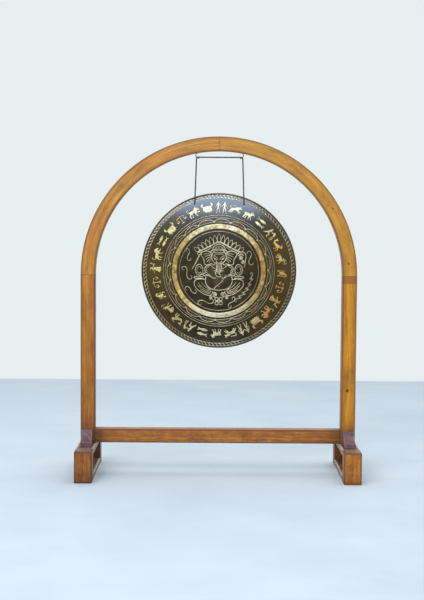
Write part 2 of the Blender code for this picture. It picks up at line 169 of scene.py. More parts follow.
def wood_look(
    name, tones, seed, band=None, knots=(), red=0.5, contrast=1.0, run=1.0, painted_shade=(), cut=None, rim=None
):
    """Planed hardwood under a thin varnish. It reads attributes of its piece: grain, the place
    in the piece with Z along the fibres, edge, which is 1 on the arrises, end, which is 1 on
    the end grain, and inside, which is 1 on the faces turned to the inside of the stand, where shade is
    painted in.

    tones are the dark, middle and light colours, and run is how quickly the figure changes
    along the grain. band is (from, to, stain) along the grain, knots are (place, radius,
    depth of colour), and painted_shade has (place along the grain, tint) stops that darken the wood as
    painted shade. cut colours the end grain, and rim the arrises; a pale rim is a painted highlight."""
    dark, middle, light = tones
    look = Look(name, Specular_IOR_Level=0.32, IOR=1.5)
    grain = look.attribute("grain")
    figure = look.noise(grain, (75.0, 75.0, 3.8 * run), 3.0, 0.55, seed)
    fibre = look.noise(grain, (430.0, 430.0, 16.0 * run), 4.0, 0.6, seed)
    pores = look.noise(grain, (1700.0, 1700.0, 60.0), 2.0, 0.5, seed)
    cloud = look.noise(grain, (22.0, 22.0, 9.0 * run), 4.0, 0.62, seed + 3.0)
    flame = look.noise(grain, (36.0, 36.0, 6.0 * run), 3.0, 0.55, seed + 7.0)

    # Growth rings round a pith outside the timber, bent by the figure and by the knots.
    pith = (0.09 + 0.05 * math.sin(seed), 0.13 + 0.04 * math.cos(2 * seed), 0.0)
    out = look.vector("ADD", look.vector("MULTIPLY", grain, (1.0, 1.0, 0.05)), pith)
    distance = look.plus(look.vector("LENGTH", out), look.times(figure, 0.022))
    gaps = [look.vector("DISTANCE", grain, place) for place, _, _ in knots]
    for gap, (_, radius, _) in zip(gaps, knots):
        pull = look.maths("EXPONENT", look.maths("DIVIDE", gap, -1.6 * radius))
        distance = look.plus(distance, look.times(pull, 0.8 * radius))
    rings = look.rings(look.times(distance, 150.0), 2.0)

    tone = look.total((rings, 0.34), (figure, 0.30), (fibre, 0.36))
    spread = 0.16 / contrast
    colour = look.ramp(tone, (0.5 - spread, dark), (0.5, middle), (0.5 + spread, light))
    colour = look.mix(1.0, colour, look.ramp(cloud, (0.30, 0.62), (0.50, 0.98), (0.70, 1.18)), "MULTIPLY")
    russet = tinted(middle, 0.80, 0.58, 0.62)
    colour = look.mix(look.ramp(flame, (0.46, 0.0), (0.68, red)), colour, russet)
    if band:
        start, end, stain = band
        along = look.axis(grain, 2)
        inside = look.times(look.maths("GREATER_THAN", along, start), look.maths("LESS_THAN", along, end))
        colour = look.mix(look.times(look.ramp(fibre, (0.3, 0.6), (0.6, 1.0)), inside), colour, stain)
    for gap, (_, radius, depth) in zip(gaps, knots):
        rough = look.plus(gap, look.times(fibre, 0.6 * radius))
        core = look.ramp(look.maths("DIVIDE", rough, 2.2 * radius), (0.25, depth), (0.75, 0.0))
        colour = look.mix(core, colour, tinted(dark, 0.12))
    # Painted shade: the stops darken the wood towards its joints and the floor.
    if painted_shade:
        along = look.plus(look.axis(grain, 2), look.times(look.maths("SUBTRACT", cloud, 0.5), 0.05))
        stops = [(place + 0.5, tint) for place, tint in painted_shade]
        colour = look.mix(1.0, colour, look.ramp(look.plus(along, 0.5), *stops), "MULTIPLY")
    if cut:
        fresh = look.mix(look.ramp(pores, (0.35, 0.0), (0.65, 1.0)), tinted(cut, 0.6), cut)
        colour = look.mix(look.times(look.attribute("end", "Fac"), 0.9), colour, fresh)
    colour = look.mix(look.ramp(pores, (0.30, 0.45), (0.42, 0.0)), colour, tinted(dark, 0.45))
    # Painted shade: the faces turned to the inside of the stand are darkened.
    colour = look.mix(look.times(look.attribute("inside", "Fac"), 0.66), colour, tinted(dark, 0.34))
    # Arrises take the rim colour: a darker line, and on the boards and corbels a pale painted highlight.
    arris_mark = look.times(look.attribute("edge", "Fac"), look.ramp(cloud, (0.35, 0.62), (0.65, 0.95)))
    arris_mark = look.maths("POWER", arris_mark, 1.35)
    colour = look.mix(arris_mark, colour, rim or tinted(middle, 0.28, 0.21, 0.30))
    look.drive(Base_Color=colour, Roughness=look.ramp(fibre, (0.3, 0.50), (0.7, 0.34)))
    look.bump(look.total((fibre, 1.0), (pores, 0.5)), 0.16, 0.0005)
    return look.material


def metal_look(name, colour, grime, rough, scale):
    """Metal with a cloudy, slightly tarnished surface and fine scratches."""
    look = Look(name, Metallic=1.0)
    place = look.place()
    cloud = look.noise(place, scale, 4.0, 0.6)
    scratch = look.noise(place, (scale * 14, scale * 14, scale * 0.8), 3.0, 0.6, 5.0)
    share = look.ramp(cloud, (0.38, 0.0), (0.66, 0.75))
    roughness = look.ramp(cloud, (0.3, rough), (0.7, min(1.0, rough + 0.22)))
    look.drive(Base_Color=look.mix(share, colour, grime), Roughness=roughness)
    look.bump(scratch, 0.15, 0.0002)
    return look.material


# Meshes.


def linked(name, data):
    """A new object in the scene."""
    obj = bpy.data.objects.new(name, data)
    bpy.context.scene.collection.objects.link(obj)
    return obj


def mesh_of(name, bm):
    mesh = bpy.data.meshes.new(name)
    bm.to_mesh(mesh)
    bm.free()
    return mesh


def piece(name, shape, looks, body, node=None, angle=40):
    """An object of a bmesh or a mesh, already in the frame, that rides on a body in a node's place."""
    if isinstance(shape, bmesh.types.BMesh):
        bmesh.ops.recalc_face_normals(shape, faces=shape.faces)
        shape = mesh_of(name, shape)
    for material in looks if isinstance(looks, list) else [looks]:
        shape.materials.append(material)
    shape.shade_smooth()
    shape.set_sharp_from_angle(angle=math.radians(angle))
    obj = linked(name, shape)
    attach(obj, body)
    if node:
        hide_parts(node)
    return obj


def skin(bm, rings, capped=True, closed=False):
    """Faces between rings of vertices. A ring may be one vertex many times over."""
    pairs = list(zip(rings, rings[1:]))
    if closed:
        pairs.append((rings[-1], rings[0]))
    for low, high in pairs:
        for i, vert in enumerate(low):
            j = (i + 1) % len(low)
            corners = [vert, low[j], high[j], high[i]]
            bm.faces.new([v for k, v in enumerate(corners) if v is not corners[k - 1]])
    if capped:
        bm.faces.new(rings[0][::-1])
        bm.faces.new(rings[-1])


def circle(bm, centre, across, other, radius, sides):
    """A ring of vertices that turns from one way to the other."""
    turns = [2 * math.pi * i / sides for i in range(sides)]
    return [bm.verts.new(centre + (across * math.cos(t) + other * math.sin(t)) * radius) for t in turns]


def rounding(back, ahead, radius):
    """The circle that rounds a corner between two unit ways: the way to its centre, for a radius
    of 1, and the unit ways from the centre to both ends of the arc."""
    half = back.angle(ahead) / 2
    bisector = (back + ahead).normalized() / math.sin(half)
    run = radius / math.tan(half)
    return bisector, *((way * run - bisector * radius).normalized() for way in (back, ahead))


def middle_and_size(node):
    low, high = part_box(node)
    return (low + high) / 2, high - low


# Timber.

SUPPORT = 7 * MM  # from an arris to where its arris mark has faded out


def quarter_round(radius, arris_mark=1.0):
    """(depth, inset, arris mark) round the arris of an end, from its face to the sides."""
    turns = [math.pi / 2 * i / 4 for i in range(5)]
    return [(radius * (1 - math.cos(turn)), radius * (1 - math.sin(turn)), arris_mark) for turn in turns]


def section_points(half, radius, inset):
    """A rounded rectangle as (a, b, edge), with a fixed number of points at any inset."""
    points = []
    steps = 4
    flat = radius + SUPPORT
    corner = max(radius - inset, 0.05 * MM)
    shift = max(inset - radius, 0.0) + (corner - max(radius - inset, 0.0))
    for quarter, (sa, sb) in enumerate(((1, 1), (-1, 1), (-1, -1), (1, -1))):
        centre = (sa * (half[0] - radius - shift), sb * (half[1] - radius - shift))
        for i in range(steps + 1):
            turn = math.pi / 2 * (quarter + i / steps)
            a = centre[0] + corner * math.cos(turn)
            b = centre[1] + corner * math.sin(turn)
            points.append((a, b, 1.0))
        # Two points on the flat that follows this corner.
        if quarter % 2 == 0:
            along = max(half[0] - flat - shift, 0.0)
            b = sb * (half[1] - inset)
            points += [(sa * along, b, 0.0), (-sa * along, b, 0.0)]
        else:
            along = max(half[1] - flat - shift, 0.0)
            a = sa * (half[0] - inset)
            points += [(a, sb * along, 0.0), (a, -sb * along, 0.0)]
    return points


def timber(name, half, length, bend, look, radius=2.5 * MM, steps=1, tip=None, faces_in=(0, 0)):
    """Square-edged timber swept along its grain. bend turns (a, b, along) into the frame.

    tip is the radius of the end arrises, where it differs. faces_in points, in a and b, at the
    faces that are turned to the inside of the stand, where shade is painted in, and is as long as the painted
    shade is dark."""
    tip = tip or radius
    bm = bmesh.new()
    grain = bm.verts.layers.float_vector.new("grain")
    edge = bm.verts.layers.float.new("edge")
    end = bm.verts.layers.float.new("end")
    inside = bm.verts.layers.float.new("inside")

    def painted_shade_depth(place):
        depths = [
            abs(way) for at, way, size in zip(place, faces_in, half)
            if at * way > abs(way) * (size - 0.6 * radius)
        ]
        return max(depths, default=0.0)

    # From the cap inwards: depth along the timber, inset of the section, arris mark.
    start = [(0.0, radius + SUPPORT, 0.0)] + quarter_round(tip, 1.0 if tip == radius else 0.6)
    reach = tip + SUPPORT * (0.25 if tip < radius else 1.0)
    start.append((reach, 0.0, 0.0))
    inner = [(reach + (length - 2 * reach) * i / steps, 0.0, 0.0) for i in range(1, steps)]
    stations = start + inner + [(length - depth, inset, arris_mark) for depth, inset, arris_mark in reversed(start)]
    rings = []
    for depth, inset, arris_mark in stations:
        ring = []
        for a, b, arris in section_points(half, radius, inset):
            along = depth - length / 2
            vert = bm.verts.new(bend(a, b, along))
            vert[grain] = (a, b, along)
            vert[edge] = max(arris if inset < radius + SUPPORT / 2 else 0.0, arris_mark)
            vert[end] = 1.0 if min(depth, length - depth) < 0.6 * tip else 0.0
            # Painted shade: vertices on the faces turned to the inside of the stand are marked for darkening.
            vert[inside] = painted_shade_depth((a, b))
            ring.append(vert)
        rings.append(ring)
    skin(bm, rings)
    piece(f"{name}_timber", bm, look, "stand", name)


def straight(node, axis, look, radius=2.5 * MM, tip=None, faces_in=(0, 0)):
    """Timber in the place of a straight CAD node, its grain along the axis."""
    centre, size = middle_and_size(node)
    others = [i for i in range(3) if i != axis]

    def bend(a, b, along):
        place = Vector(centre)
        place[others[0]] += a
        place[others[1]] += b
        place[axis] += along
        return place

    half = (size[others[0]] / 2, size[others[1]] / 2)
    timber(node, half, size[axis], bend, look, radius, tip=tip, faces_in=faces_in)


# Camera, light and floor.

CAMERA_PLACE = (-0.0355, -4.9363, 1.0024)
CAMERA_DOWN = math.radians(3.8064)
CAMERA_YAW = math.radians(0.1127)
CAMERA_ROLL = math.radians(-0.3873)
CAMERA_LENS = 76.8


def make_camera():
    """A camera that looks level along +Y before it is rolled, tilted down and turned."""
    data = bpy.data.cameras.new("camera")
    data.lens = CAMERA_LENS
    data.sensor_width = 36.0
    camera = linked("camera", data)
    roll = Matrix.Rotation(-CAMERA_ROLL, 4, "Z")
    tilt = Matrix.Rotation(math.pi / 2 - CAMERA_DOWN, 4, "X")
    turn = Matrix.Rotation(-CAMERA_YAW, 4, "Z")
    camera.matrix_world = Matrix.Translation(CAMERA_PLACE) @ turn @ tilt @ roll
    bpy.context.scene.camera = camera


def area_light(name, place, target, size, power, colour):
    data = bpy.data.lights.new(name, "AREA")
    data.shape = "RECTANGLE"
    data.size, data.size_y = size
    data.energy = power
    data.color = colour
    obj = linked(name, data)
    obj.location = place
    obj.rotation_mode = "QUATERNION"
    obj.rotation_quaternion = (Vector(target) - Vector(place)).to_track_quat("-Z", "Y")


def make_studio():
    """A pale wall behind the object, and in front a dim room under a bluish window."""
    world = bpy.data.worlds.new("studio")
    bpy.context.scene.world = world
    room = Look("studio", world, "Background", Strength=1.0)
    way = room.add("TexCoord", output="Generated")
    colour = room.ramp(
        room.axis(way, 2),
        (0.0, (0.22, 0.18, 0.12)),
        (0.055, (0.48, 0.45, 0.34)),
        (0.12, (0.44, 0.54, 0.70)),
        (0.30, (0.72, 0.80, 0.90)),
    )
    behind = room.ramp(room.axis(way, 1), (0.0, 0.0), (0.35, 1.0))
    for share in (behind, room.add("LightPath", output="Is Camera Ray")):
        colour = room.mix(share, colour, (0.80, 0.86, 0.87))
    room.drive(Color=colour)
    area_light("key", (-2.2, -3.4, 3.6), (0, 0, 0.7), (2.4, 1.8), 90, (1.0, 0.97, 0.92))
    area_light("sky", (-0.65, -6.5, 2.1), (0, 0, 1.0), (3.1, 1.2), 150, (0.50, 0.70, 1.0))
    area_light("top", (0.5, 0.6, 3.8), (0, 0, 0.5), (3.0, 3.0), 60, (0.92, 0.96, 1.0))

    look = Look("floor", Specular_IOR_Level=0.2)
    cloud = look.noise(look.place(), 2.5, 5.0, 0.6)
    colour = look.ramp(cloud, (0.3, (0.50, 0.56, 0.60)), (0.7, (0.57, 0.62, 0.65)))
    look.drive(Base_Color=colour, Roughness=look.ramp(cloud, (0.3, 0.75), (0.7, 0.9)))
    bm = bmesh.new()
    bmesh.ops.create_grid(bm, x_segments=8, y_segments=8, size=1.0)
    bmesh.ops.scale(bm, verts=bm.verts, vec=(4.5, 2.8, 1.0))
    mesh = mesh_of("floor", bm)
    mesh.materials.append(look.material)
    linked("floor", mesh)
    bpy.context.scene.view_settings.view_transform = "Standard"


# Stand.

ARCH_LOW, ARCH_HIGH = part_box("arch_right")
ARCH_RADIUS = ARCH_HIGH.x
SPRING_Z = ARCH_HIGH.z - ARCH_RADIUS
TIMBER = ARCH_HIGH.y - ARCH_LOW.y
ARCH_MIDDLE = ARCH_RADIUS - TIMBER / 2


def make_arch(side, sign, look):
    """A quarter ring with its grain along the curve, from the post up to the crown."""
    gap = ARCH_LOW.x if sign > 0 else -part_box("arch_left")[1].x
    length = math.pi / 2 * ARCH_MIDDLE - 2 * gap

    def bend(a, b, along):
        turn = math.pi / 4 + along / ARCH_MIDDLE
        radius = ARCH_MIDDLE + a
        return Vector((sign * radius * math.cos(turn), b, SPRING_Z + radius * math.sin(turn)))

    half = (TIMBER / 2, TIMBER / 2)
    # The arch's inner face, its underside, gets painted shade.
    timber(f"arch_{side}", half, length, bend, look, steps=72, tip=0.5 * MM, faces_in=(-1, 0))


def eased_outline(corners, radius, reach, inset):
    """Points (a, b, edge) round a closed outline whose corners are (a, b, eased or not).

    It travels with its inside to the left. inset moves it inwards, and past the radius the
    eased corners become sharp, each with its points in one place."""
    points = []
    for k, (a, b, eased) in enumerate(corners):
        corner = Vector((a, b))
        before = Vector(corners[k - 1][:2]) - corner
        after = Vector(corners[(k + 1) % len(corners)][:2]) - corner
        back, ahead = before.normalized(), after.normalized()
        inwards = Vector((back.y, -back.x)), Vector((-ahead.y, ahead.x))
        if not eased:
            points.append((*(corner + (inwards[0] + inwards[1]).normalized() * inset), 0.0))
            continue
        bisector, first, last = rounding(back, ahead, radius)
        centre = corner + bisector * max(radius, inset)
        if before.length > 2 * reach:
            points.append((*(corner + back * reach + inwards[0] * inset), 0.0))
        for i in range(5):
            points.append((*(centre + max(radius - inset, 0.0) * first.slerp(last, i / 4)), 1.0))
        if after.length > 2 * reach:
            points.append((*(corner + ahead * reach + inwards[1] * inset), 0.0))
    return points


def make_corbel(side, sign, face, way, look):
    """A block with a ledge, a hollow sweep and an upright toe, every arris softened."""
    node = f"corbel_{side}_{face}"
    low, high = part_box(node)
    length, height, width = high.y - low.y, high.z - low.z, high.x - low.x
    ledge, toe, radius, reach = 36 * MM, 17 * MM, 1.2 * MM, 4 * MM
    corners = [(0.0, 0.0, True), (length, 0.0, True), (length, toe, True)]
    steps = 22
    for i in range(1, steps):
        turn = math.pi / 2 * (1 - i / steps)
        a = length - (length - ledge) * math.cos(turn)
        corners.append((a, height - (height - toe) * math.sin(turn), False))
    corners += [(ledge, height, True), (0.0, height, True)]
    stations = [(0.0, 2.0 * MM, 0.0)] + quarter_round(radius) + [(reach, 0.0, 0.0), (width / 2, 0.0, 0.0)]
    stations += [(width - across, inset, arris_mark) for across, inset, arris_mark in stations[-2::-1]]
    bm = bmesh.new()
    grain = bm.verts.layers.float_vector.new("grain")
    edge = bm.verts.layers.float.new("edge")
    wall = low.y if way > 0 else high.y
    rings = []
    for across, inset, arris_mark in stations:
        ring = []
        for a, b, arris in eased_outline(corners, radius, reach, inset):
            vert = bm.verts.new((low.x + across, wall + way * a, low.z + b))
            vert[grain] = (across + 0.05 * sign, b, a * way)
            vert[edge] = max(arris_mark, arris if inset < radius else 0.0)
            ring.append(vert)
        rings.append(ring)
    skin(bm, rings)
    bmesh.ops.remove_doubles(bm, verts=bm.verts, dist=0.001 * MM)
    caps = [face for face in bm.faces if len(face.verts) > 4]
    bmesh.ops.triangulate(bm, faces=caps, ngon_method="EAR_CLIP")
    piece(f"{node}_block", bm, look, "stand", node)


def make_stand():
    golden = (0.34, 0.115, 0.008), (0.52, 0.205, 0.014), (0.64, 0.295, 0.032)
    honey = (0.35, 0.130, 0.009), (0.54, 0.232, 0.016), (0.68, 0.335, 0.036)
    brown = (0.22, 0.066, 0.004), (0.43, 0.148, 0.008), (0.56, 0.225, 0.016)
    amber = (0.36, 0.116, 0.004), (0.56, 0.215, 0.006), (0.68, 0.300, 0.014)
    foot = (0.20, 0.055, 0.005), (0.42, 0.140, 0.010), (0.56, 0.225, 0.022)
    umber = (0.12, 0.031, 0.004), (0.27, 0.084, 0.007), (0.38, 0.150, 0.016)
    post_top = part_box("post_right")[1].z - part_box("post_right")[0].z
    band = (post_top / 2 - 0.029, 1.0, (0.33, 0.098, 0.010))
    nail_hole = (-0.0045, -TIMBER / 2, -0.117)
    spots = ((-0.0068, -0.103, 0.0040), (0.0023, -0.125, 0.0045), (-0.003, -0.346, 0.0055))
    knots = [((out, -TIMBER / 2, along), radius, 0.7) for out, along, radius in spots]
    cut = (0.22, 0.135, 0.110)
    # Painted shade on the posts, darker towards their feet; on the left post also bluer.
    low = ((-0.33, 0.50), (-0.25, 0.92), (-0.1, 1.0))
    lower = (
        (-0.33, (0.46, 0.38, 0.60)), (-0.25, (0.66, 0.55, 0.80)), (-0.19, (0.93, 0.86, 0.95)), (-0.1, 1.0)
    )
    nail = [(nail_hole, 6.0 * MM, 1.4)]
    posts = {
        "left": wood_look("post_left_wood", brown, 1.7, red=0.6, painted_shade=lower),
        "right": wood_look("post_right_wood", amber, 5.2, band, nail, 0.5, painted_shade=low),
    }
    arches = {
        "left": wood_look("arch_left_wood", golden, 2.3, red=0.45),
        "right": wood_look("arch_right_wood", honey, 3.9, None, knots, 0.3),
    }
    tan = (0.17, 0.048, 0.007), (0.37, 0.122, 0.016), (0.52, 0.210, 0.030)
    # Painted shade at the rail's ends, where it meets the posts.
    ends = ((-0.48, 0.42), (-0.41, 1.0), (0.41, 1.0), (0.48, 0.42))
    rail = wood_look("rail_wood", tan, 4.4, contrast=0.95, run=3.0, painted_shade=ends)
    # Painted shade on the foot blocks, darker towards the floor.
    under = ((-0.058, 0.50), (-0.035, 0.85), (0.0, 1.0), (0.058, 1.05))
    blocks = {
        side: wood_look(f"foot_{side}_wood", tones, seed, red=0.7, run=3.6, painted_shade=under, cut=cut)
        for side, tones, seed in (("left", umber, 6.6), ("right", foot, 9.1))
    }
    # Painted shade: the foot boards' dark tones; their pale rim is a painted highlight along the arrises.
    shaded = (0.075, 0.028, 0.010), (0.16, 0.068, 0.028), (0.25, 0.115, 0.055)
    board = wood_look("foot_board_wood", shaded, 7.3, red=0.5, run=2.0, cut=cut, rim=(0.60, 0.46, 0.38))
    # The corbels' pale rim colour is a painted highlight along their arrises.
    plum = (0.070, 0.031, 0.038), (0.154, 0.077, 0.084), (0.24, 0.134, 0.134)
    mauve = wood_look("corbel_wood", plum, 8.1, run=3.0, rim=(0.25, 0.155, 0.150))
    # Posts and foot blocks get painted shade on the faces turned to the inside of the stand.
    for side, sign in SIDES:
        straight(f"post_{side}", 2, posts[side], tip=0.6 * MM, faces_in=(-sign, 0))
        make_arch(side, sign, arches[side])
    straight("stretcher_rail", 0, rail)
    for side, sign in SIDES:
        for face, way in FACES:
            straight(f"foot_{side}_{face}_block", 2, blocks[side], faces_in=(-0.7 * sign, -way))
            make_corbel(side, sign, face, way, mauve)
        for level in ("top", "bottom"):
            straight(f"foot_{side}_{level}_board", 1, board, tip=0.6 * MM)


# Metalwork.


def spun(bm, outline, centre, steps, axis=2):
    """A closed solid turned about a line through the centre. The outline starts with (radius,
    height), from pole to pole, or closed on itself if it starts away from the line."""
    ways = [Vector([float(i == (axis + k) % 3) for i in range(3)]) for k in range(3)]
    rings = []
    for radius, height, *_ in outline:
        place = Vector(centre) + ways[0] * height
        if radius < 1e-7:
            rings.append([bm.verts.new(place)] * steps)
        else:
            rings.append(circle(bm, place, ways[1], ways[2], radius, steps))
    skin(bm, rings, capped=False, closed=outline[0][0] > 1e-7)


def tube(node, route, radius, look, body, sides=20):
    """Round bar along the route, with rounded ends, in the place of a node."""
    route = [Vector(point) for point in route]
    ways = [(b - a).normalized() for a, b in zip(route, route[1:])]
    along = [ways[0]] + [(a + b).normalized() for a, b in zip(ways, ways[1:])] + [ways[-1]]
    dome = [(1 - math.cos(turn), math.sin(turn)) for turn in (0.25, 0.6, 1.0, 1.5)]
    stations = [(route[0] + along[0] * radius * rise, along[0], radius * wide) for rise, wide in dome]
    stations += [(point, way, radius) for point, way in zip(route[1:-1], along[1:-1])]
    for rise, wide in reversed(dome):
        stations.append((route[-1] - along[-1] * radius * rise, along[-1], radius * wide))
    across = along[0].orthogonal().normalized()
    bm = bmesh.new()
    rings = []
    for centre, way, size in stations:
        across = (across - way * across.dot(way)).normalized()
        rings.append(circle(bm, centre, across, way.cross(across), size, sides))
    skin(bm, rings)
    piece(f"{node}_wire", bm, look, body, node)


def rounded_route(corners, bends, steps=8):
    """The corners' polyline, with each inner corner rounded to its bend radius."""
    corners = [Vector(corner) for corner in corners]
    points = corners[:1]
    for before, corner, after, radius in zip(corners, corners[1:], corners[2:], bends):
        back, ahead = (before - corner).normalized(), (after - corner).normalized()
        bisector, first, last = rounding(back, ahead, radius)
        for i in range(steps + 1):
            points.append(corner + radius * (bisector + first.slerp(last, i / steps)))
    return points + corners[-1:]


def smooth_route(points, steps=7):
    """Points on a smooth curve through the given ones, in as many dimensions as they have."""
    points = [np.array(point, float) for point in points]
    ends = [2 * points[0] - points[1], *points, 2 * points[-1] - points[-2]]
    route = []
    for a, b, c, d in zip(ends, ends[1:], ends[2:], ends[3:]):
        for i in range(steps):
            t = i / steps
            bend = (2 * a - 5 * b + 4 * c - d) * t**2 + (3 * b - a - 3 * c + d) * t**3
            route.append(b + ((c - a) * t + bend) / 2)
    return route + points[-1:]


ROD_LOW, ROD_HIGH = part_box("hanger_rod")
ROD_RADIUS = 2.5 * MM
HOOK_RADIUS = 1.75 * MM
BAR_Z = ROD_HIGH.z - ROD_RADIUS
PIN_Z = ROD_LOW.z + ROD_RADIUS
HOLE_X = ROD_HIGH.x - ROD_RADIUS
BAR_HALF = 88.5 * MM
LEG_FORWARD = ROD_HIGH.y - ROD_RADIUS
TIP_HEIGHT = 13 * MM


def make_rod(look):
    """A bar across, two legs, and hooked ends that reach through the gong's holes."""
    half = [
        (HOLE_X, LEG_FORWARD, PIN_Z + TIP_HEIGHT),
        (HOLE_X, LEG_FORWARD, PIN_Z),
        (HOLE_X, -LEG_FORWARD, PIN_Z),
        (BAR_HALF, 0.0, BAR_Z),
    ]
    corners = [(-x, y, z) for x, y, z in half] + half[::-1]
    bends = [bend * MM for bend in (5, 5, 6, 6, 5, 5)]
    tube("hanger_rod", rounded_route(corners, bends), ROD_RADIUS, look, "hanger")


def make_hook(side, sign, look):
    """A screw hook: down from the arch, round behind the bar and up again in front."""
    middle = ARCH_RADIUS - TIMBER
    underside = SPRING_Z + math.sqrt(middle**2 - BAR_HALF**2) - BAR_Z
    rest = -(ROD_RADIUS + HOOK_RADIUS + 0.3 * MM)
    turn = (
        (0.0885, 0.0, underside + 0.020),
        (0.0885, 0.0, underside),
        (0.0895, 0.0006, 0.0120),
        (0.0917, 0.0022, 0.0080),
        (0.0913, 0.0046, 0.0040),
        (0.0880, 0.0060, 0.0004),
        (0.0840, 0.0048, -0.0029),
        (0.0805, 0.0006, rest),
        (0.0783, -0.0040, -0.0031),
        (0.0770, -0.0060, 0.0005),
        (0.0766, -0.0058, 0.0045),
    )
    route = smooth_route([(sign * x, y, BAR_Z + z) for x, y, z in turn])
    tube(f"hook_{side}", route, HOOK_RADIUS, look, "stand", sides=18)


def make_coach_screw(node, look):
    """A hexagon head under the board, its corners chamfered, and a plain shank above."""
    low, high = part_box(node)
    x, y = (low.x + high.x) / 2, (low.y + high.y) / 2
    shank, head, top = 3.5 * MM, (high.x - low.x) / 2, low.z + 5 * MM
    root = top - 0.4 * MM
    outline = [(0.0, root), (shank, root), (shank, high.z - shank), (0.6 * MM, high.z), (0.0, high.z)]
    bm = bmesh.new()
    spun(bm, outline, (x, y, 0.0), 20)
    made = bmesh.ops.create_cone(bm, cap_ends=True, segments=6, radius1=head, radius2=head, depth=top - low.z)
    corners = made["verts"]
    bmesh.ops.translate(bm, verts=corners, vec=(x, y, (top + low.z) / 2))
    rim = {e for v in corners for e in v.link_edges if all(abs(w.co.z - low.z) < 1e-6 for w in e.verts)}
    bmesh.ops.bevel(bm, geom=list(rim), offset=0.9 * MM, segments=2, profile=0.6, affect="EDGES")
    piece(f"{node}_hex", bm, look, "stand", node)


def make_washer(node, look):
    """A flat ring with eased outer arrises."""
    centre, size = middle_and_size(node)
    inner, outer, half, ease = 3.8 * MM, size.x / 2, size.z / 2, 0.4 * MM
    outline = [
        (inner, -half), (outer - ease, -half), (outer, -half + ease), (outer, half - ease),
        (outer - ease, half), (inner, half),
    ]
    bm = bmesh.new()
    spun(bm, outline, centre, 40)
    piece(f"{node}_ring", bm, look, "stand", node)


def make_wood_screw(node, look):
    """A pan head with a thin cross on it, and a shank above."""
    low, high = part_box(node)
    x, y = (low.x + high.x) / 2, (low.y + high.y) / 2
    shank, head, top = 2.0 * MM, (high.x - low.x) / 2, low.z + 2.5 * MM
    outline, rim = [(0.0, low.z)], top - 0.3 * MM
    for i in range(1, 7):
        turn = math.pi / 2 * i / 6
        outline.append((head * math.sin(turn) ** 0.8, rim - (rim - low.z) * math.cos(turn)))
    outline += [(head, top), (shank, top), (shank, high.z - 2 * shank), (0.0, high.z)]
    bm = bmesh.new()
    spun(bm, outline, (x, y, 0.0), 32)
    for across, along in ((4.0, 0.9), (0.9, 4.0)):
        size = Matrix.Diagonal((across * MM, along * MM, 0.5 * MM, 1))
        place = Matrix.Translation((x, y, low.z - 0.1 * MM))
        bmesh.ops.create_cube(bm, size=1.0, matrix=place @ size)
    piece(f"{node}_pan", bm, look, "stand", node)


def make_metalwork():
    steel = metal_look("rod_steel", (0.10, 0.105, 0.10), (0.035, 0.034, 0.030), 0.34, 60.0)
    zinc = metal_look("zinc_plate", (0.50, 0.50, 0.48), (0.22, 0.21, 0.19), 0.32, 90.0)
    make_rod(steel)
    for side, sign in SIDES:
        make_hook(side, sign, zinc)
        for face, _ in FACES:
            make_coach_screw(f"post_screw_{side}_{face}", zinc)
            make_washer(f"post_washer_{side}_{face}", zinc)
            make_wood_screw(f"corbel_screw_{side}_{face}", zinc)


def dress_dowels():
    """The dowels keep their CAD shape, in beech with its grain along Z."""
    look = Look("dowel_beech")
    place = look.place()
    fibre = look.noise(place, (700.0, 700.0, 60.0), 4.0, 0.6)
    cloud = look.noise(place, (60.0, 60.0, 20.0), 3.0, 0.5, 4.0)
    tone = look.total((fibre, 0.6), (cloud, 0.4))
    colour = look.ramp(tone, (0.35, (0.34, 0.20, 0.09)), (0.62, (0.62, 0.42, 0.22)))
    look.drive(Base_Color=colour, Roughness=look.ramp(fibre, (0.3, 0.7), (0.7, 0.55)))
    look.bump(fibre, 0.3, 0.0003)
    for obj in bpy.data.objects:
        if obj.type == "MESH" and "dowel" in obj.name:
            for slot in obj.material_slots:
                slot.material = look.material


# Gong.

GONG_LOW, GONG_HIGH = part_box("gong")
GONG_RADIUS = (GONG_HIGH.x - GONG_LOW.x) / 2
GONG_MIDDLE_Z = (GONG_HIGH.z + GONG_LOW.z) / 2
GONG_RISE = 6.5 * MM  # how far the dome's edge lies behind its middle
GONG_BEND = 12 * MM  # radius of the bend from the face to the rim
GONG_WALL = 2 * MM
GONG_LIP = 297 * MM  # outer radius of the rim's rear edge
GONG_FLAT = GONG_RADIUS - GONG_BEND
GONG_STEPS = 360
HOLE_RADIUS = 3.6 * MM
HOLE_PLACES = ((-94.8 * MM, 251.5 * MM), (94.8 * MM, 251.5 * MM))

# Turned lines as (radius, width, height), and the broad band as (from, to, height).
TURNED_LINES = (
    (152.6 * MM, 1.5 * MM, 0.30 * MM),
    (188.6 * MM, 1.5 * MM, 0.30 * MM),
    (205.8 * MM, 1.6 * MM, 0.35 * MM),
    (214.2 * MM, 1.8 * MM, 0.40 * MM),
)
BAND = (162.8 * MM, 180.8 * MM, 0.35 * MM)
FIGURE_RADIUS = 244.0 * MM
ROPE_RADIUS = 286.2 * MM
ROPE_DASHES = 126
SCALLOPS = 19
FIRST_SCALLOP = 95.9  # degrees, from +X towards +Z
SCALLOP_FOOT = 187.4  # radius of the arches' feet, in millimetres


def face_y(radius):
    """Where the front's surface lies at a distance from the middle of the gong."""
    flat = np.minimum(radius, GONG_FLAT)
    past = np.clip(radius - GONG_FLAT, 0.0, GONG_BEND)
    dome = GONG_LOW.y + GONG_RISE * (flat / GONG_FLAT) ** 2
    return dome + GONG_BEND - np.sqrt(GONG_BEND**2 - past**2)


